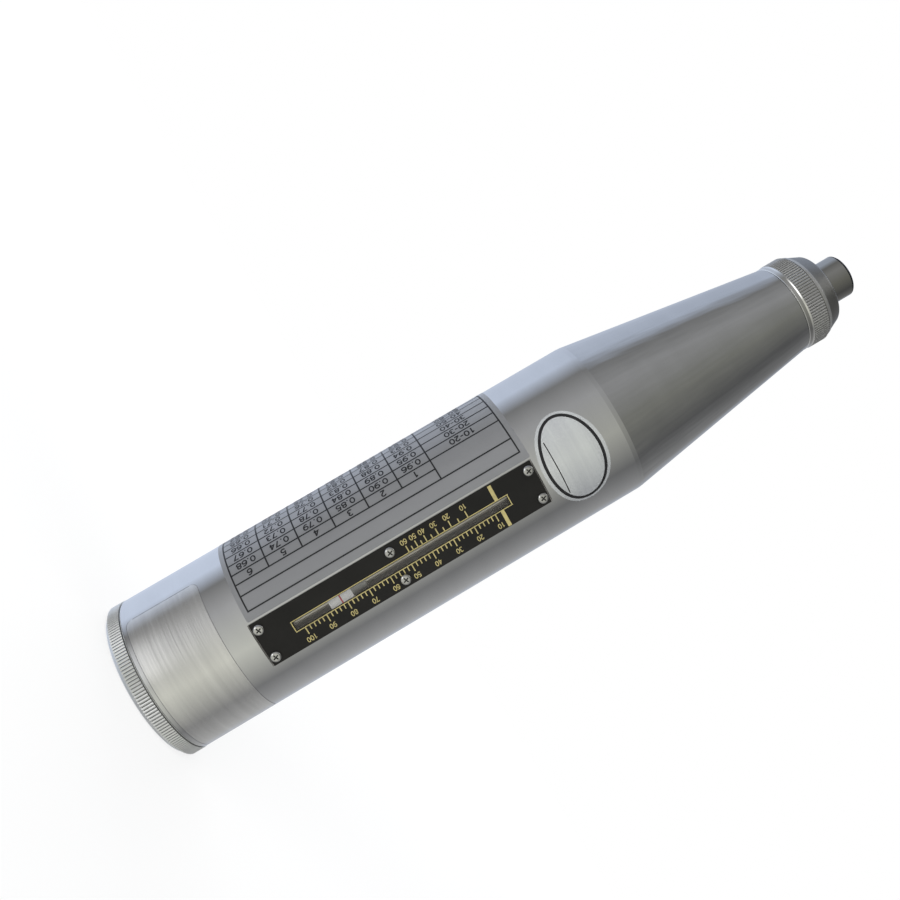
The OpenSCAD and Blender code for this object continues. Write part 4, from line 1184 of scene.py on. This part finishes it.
class HAMMER_OT_springs(bpy.types.Operator):
    """Winds the five springs"""

    bl_idname = "hammer.springs"
    bl_label = "Springs"

    def execute(self, context):
        c = colours_of(context)
        wire = surface("spring_wire", c.spring, metallic=1.0, roughness=0.3, spread=0.08, fine=even(900),
                       coarse=even(60), bump=0.08, tint=0.1)
        tree = spring_tree()
        turned_to = {"Z": Matrix.Identity(4), "Y": Matrix.Rotation(-math.pi / 2, 4, "X"),
                     "X": Matrix.Rotation(math.pi / 2, 4, "Y")}
        for node, way, turns, thick, body in (
                ("return_spring", "Z", 12, 1.4 * MM, None), ("impact_spring", "Z", 18, 1.8 * MM, "housing"),
                ("cushion_spring", "Z", 10, 0.9 * MM, "plunger"),
                ("button_spring", "Y", 3, 0.6 * MM, "housing"),
                ("pawl_spring", "X", 5, 0.4 * MM, "plunger")):
            low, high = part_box(node)
            axis = "XYZ".index(way)
            across = (axis + 1) % 3
            whole = high[axis] - low[axis]
            mesh = grown(node + "_wire", tree, {
                "Turns": float(turns), "Radius": (high[across] - low[across]) / 2 - thick / 2,
                "Length": whole - thick, "Wire Radius": thick / 2, "Material": wire})
            centre = (low + high) / 2
            shift = Matrix.Translation((0, 0, -(whole - thick) / 2))
            mesh.transform(Matrix.Translation(centre) @ turned_to[way] @ shift)
            wound = piece(node + "_wire", mesh, body, [node])
            if node == "return_spring":
                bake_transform(wound)
            if node == "button_spring":
                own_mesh(wound)
        return {"FINISHED"}


class HAMMER_OT_inner_parts(bpy.types.Operator):
    """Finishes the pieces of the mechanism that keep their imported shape, and the window's pane"""

    bl_idname = "hammer.inner_parts"
    bl_label = "Inner Parts"

    def execute(self, context):
        c = colours_of(context)
        steel = ground_metal("inner_steel", c.steel, roughness=0.3)
        turned_steel = turned_metal("hammer_steel", c.steel, roughness=0.28, bump=0.12)
        brass = turned_metal("sleeve_brass", c.brass, roughness=0.25, bump=0.1)
        felt = surface("seal_felt", c.felt, metallic=0.0, roughness=0.95, spread=0.04, fine=even(2200),
                       coarse=even(300), bump=0.6, tint=0.3)
        finish = {"hammer": turned_steel, "guide_bar": turned_steel, "guide_flange": turned_steel,
                  "spring_seat": brass, "lock_ring": brass, "felt_seal": felt,
                  "rider_carriage": ground_metal("rider_metal", c.rider, roughness=0.4),
                  "rider_rod": ground_metal("rod_nickel", c.rod, roughness=0.42),
                  "window_pane": clear_pane("clear_pane", c.pane)}
        for name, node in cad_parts.items():
            if node.hide_render:
                continue
            material = finish.get(name, steel)
            if node.material_slots:
                for holder in node.material_slots:
                    holder.material = material
            else:
                node.data.materials.append(material)
        return {"FINISHED"}


SKY = (0.9, 1.0, 1.2)
GREY = (1.0, 1.0, 1.0)
WARM = (1.0, 1.0, 0.9)
# Soft cards that run into one another: azimuth from -Y to +X in degrees, brightness low down, brightness
# high up, tint
CARDS = (
    (-180, 0.7, 0.5, SKY),  # sky behind
    (-120, 0.7, 0.5, SKY),  # end of the sky
    (-90, 0.2, 0.2, GREY),  # dark left wall
    (-50, 0.4, 0.3, GREY),  # grey front left
    (10, 0.6, 0.2, WARM),  # lit front
    (70, 0.2, 0.1, GREY),  # dark right wall
    (120, 0.4, 0.2, GREY),  # grey right
    (180, 0.7, 0.5, SKY))  # sky behind


class HAMMER_OT_stage(bpy.types.Operator):
    """Sets the pale floor, the soft light, the cards that the metal mirrors, and the camera"""

    bl_idname = "hammer.stage"
    bl_label = "Stage"

    def execute(self, context):
        scene = context.scene
        self.floor()
        self.cards()
        self.world(scene)
        self.lamps()
        self.camera(scene)
        scene.view_settings.view_transform = "Standard"
        return {"FINISHED"}

    @staticmethod
    def seen(tree):
        """1 for camera, glossy and transmission rays, and 0 for the rest."""
        path = add(tree, "ShaderNodeLightPath").outputs
        both = math_node(tree, "MAXIMUM", path["Is Camera Ray"], path["Is Glossy Ray"])
        return math_node(tree, "MAXIMUM", both, path["Is Transmission Ray"])

    def floor(self):
        """A white floor that keeps the hammer's soft shadow and glows more where less light falls."""
        mesh = bpy.data.meshes.new("floor")
        side, low, glow_share = 4.0, -0.3 * MM, 0.7
        mesh.from_pydata([(-side, -side, low), (side, -side, low), (side, side, low), (-side, side, low)],
                         [], [[0, 1, 2, 3]])
        material, shader, output = new_material("pale_floor")
        tree = material.node_tree
        feed(tree, shader, {"Base Color": (0.9, 0.9, 0.9, 1), "Roughness": 0.9})
        place = add(tree, "ShaderNodeTexCoord").outputs["Object"]
        away = add(tree, "ShaderNodeVectorMath", {0: place}, operation="LENGTH")
        level = add(tree, "ShaderNodeMapRange", {
            "Value": away.outputs["Value"], "From Min": 0.6, "From Max": 1.5, "To Min": 1.085,
            "To Max": 1.22})
        glow = add(tree, "ShaderNodeEmission", {"Strength": level.outputs["Result"]})
        mix = add(tree, "ShaderNodeMixShader", {
            0: math_node(tree, "MULTIPLY", self.seen(tree), glow_share), 1: shader.outputs["BSDF"],
            2: glow.outputs["Emission"]})
        feed(tree, output, {"Surface": mix.outputs["Shader"]})
        mesh.materials.append(material)
        floor = shown("floor", mesh)
        floor.visible_glossy = False

    @staticmethod
    def cards():
        """A ring of soft cards round the hammer, seen only in reflections. A lit card lies under the front
        left, for brushed foil, and a grey one closes the ring below."""
        reach, below = 1.5, [0.30, 0.31, 0.33, 1.0]
        turns = np.arange(-180, 180, 1.0)
        heights = np.array([-2.4, -1.6, -1.2, -0.65, -0.4, 0.0, 0.25, 0.6, 1.0, 1.5, 2.2, 4.0, 8.0])
        share = np.interp(heights, [0.0, 1.0], [0.0, 1.0])
        under = np.interp(heights, [-1.6, -1.2, -0.65, -0.4], [0.0, 1.0, 1.0, 0.0])
        lamp = np.interp(turns, [-82, -58, -30, -12], [0.0, 1.3, 1.3, 0.0])
        angles = [card[0] for card in CARDS]
        low, high = (np.stack([np.interp(turns, angles, [card[side] * card[3][k] for card in CARDS])
                               for k in range(3)], 1) for side in (1, 2))
        vertices, tones, faces = [], [], []
        n = len(turns)
        for i, z in enumerate(heights):
            for k, a in enumerate(np.radians(turns)):
                vertices.append((reach * math.sin(a), -reach * math.cos(a), z))
                tones += list(low[k] * (1 - share[i]) + high[k] * share[i] + under[i] * lamp[k]) + [1.0]
        for i in range(len(heights) - 1):
            for k in range(n):
                faces.append([i * n + k, i * n + (k + 1) % n, (i + 1) * n + (k + 1) % n, (i + 1) * n + k])
        middle = len(vertices)
        vertices.append((0, 0, heights[0]))
        tones += below
        faces += [[(k + 1) % n, k, middle] for k in range(n)]
        mesh = bpy.data.meshes.new("soft_cards")
        mesh.from_pydata(vertices, [], faces)
        mesh.attributes.new("tone", "FLOAT_COLOR", "POINT").data.foreach_set("color", tones)
        material, shader, output = new_material("card_glow")
        tree = material.node_tree
        tree.nodes.remove(shader)
        tone = add(tree, "ShaderNodeAttribute", attribute_name="tone")
        glow = add(tree, "ShaderNodeEmission", {"Color": tone.outputs["Color"]})
        feed(tree, output, {"Surface": glow.outputs["Emission"]})
        mesh.materials.append(material)
        ring = shown("soft_cards", mesh)
        for kind in ("camera", "diffuse", "transmission", "volume_scatter", "shadow"):
            setattr(ring, "visible_" + kind, False)

    def world(self, scene):
        """Soft light all round, and plain white where the surroundings are seen."""
        world = bpy.data.worlds.new("studio")
        scene.world = world
        world.use_nodes = True
        tree = world.node_tree
        tree.nodes.clear()
        soft = add(tree, "ShaderNodeBackground", {"Strength": 0.55, "Color": (0.96, 0.98, 1.0, 1)})
        white = add(tree, "ShaderNodeBackground", {"Color": (1, 1, 1, 1)})
        mix = add(tree, "ShaderNodeMixShader", {
            0: self.seen(tree), 1: soft.outputs[0], 2: white.outputs[0]})
        add(tree, "ShaderNodeOutputWorld", {"Surface": mix.outputs[0]})

    @staticmethod
    def lamps():
        """Three wide lamps aimed at the middle of the hammer, which do not show in the metal."""
        middle = Vector((0, 0, 0.13))
        for name, place, size, power, tone in (
                ("key", (-0.75, -0.85, 0.75), 0.9, 7.0, (1.0, 0.99, 0.97)),
                ("fill", (0.9, -0.5, 0.45), 0.8, 2.0, (0.97, 0.98, 1.0)),
                ("back", (0.0, 1.0, 0.7), 0.9, 5.0, (1.0, 1.0, 1.0))):
            light = bpy.data.lights.new(name, "AREA")
            light.size, light.energy, light.color = size, power, tone
            lamp = shown(name, light)
            lamp.location = place
            lamp.rotation_euler = (middle - Vector(place)).to_track_quat("-Z", "Y").to_euler()
            lamp.visible_glossy = False

    @staticmethod
    def camera(scene):
        """The camera fitted to the photo's outlines and marks: its place, its two axes and its lens."""
        place = Vector((-98.671, -317.986, 100.781)) * MM
        right = Vector((0.4751, -0.1810, 0.8611)).normalized()
        back = -Vector((0.2499, 0.9661, 0.0651)).normalized()
        up = back.cross(right).normalized()
        right = up.cross(back)
        data = bpy.data.cameras.new("camera")
        data.sensor_width, data.lens = 36, 39.86
        data.clip_start = 0.01
        camera = shown("camera", data)
        camera.matrix_world = Matrix.Translation(place) @ Matrix((right, up, back)).transposed().to_4x4()
        scene.camera = camera


OPERATORS = (
    HAMMER_OT_housing, HAMMER_OT_rear_cap, HAMMER_OT_nose_cap, HAMMER_OT_plunger, HAMMER_OT_scale_plate,
    HAMMER_OT_plate_screws, HAMMER_OT_rider, HAMMER_OT_table_label, HAMMER_OT_plain_labels,
    HAMMER_OT_button, HAMMER_OT_springs, HAMMER_OT_inner_parts, HAMMER_OT_stage)


class HAMMER_PT_pieces(bpy.types.Panel):
    """Lists the pieces and their sizes and colours"""

    bl_idname = "HAMMER_PT_pieces"
    bl_label = "Concrete Test Hammer"
    bl_space_type = "VIEW_3D"
    bl_region_type = "UI"
    bl_category = "Hammer"

    def draw(self, context):
        for group in (context.scene.hammer_sizes, context.scene.hammer_colours):
            column = self.layout.column(align=True)
            for name in type(group).__annotations__:
                column.prop(group, name)
        for operator in OPERATORS:
            self.layout.operator(operator.bl_idname)


CLASSES = (HammerSizes, HammerColours, *OPERATORS, HAMMER_PT_pieces)


def register():
    for kind in CLASSES:
        bpy.utils.register_class(kind)
    bpy.types.Scene.hammer_sizes = bpy.props.PointerProperty(type=HammerSizes)
    bpy.types.Scene.hammer_colours = bpy.props.PointerProperty(type=HammerColours)


def unregister():
    del bpy.types.Scene.hammer_colours
    del bpy.types.Scene.hammer_sizes
    for kind in reversed(CLASSES):
        bpy.utils.unregister_class(kind)


def main():
    register()
    for operator in OPERATORS:
        getattr(bpy.ops.hammer, operator.bl_idname.split(".")[1])()


if __name__ == "__main__":
    main()
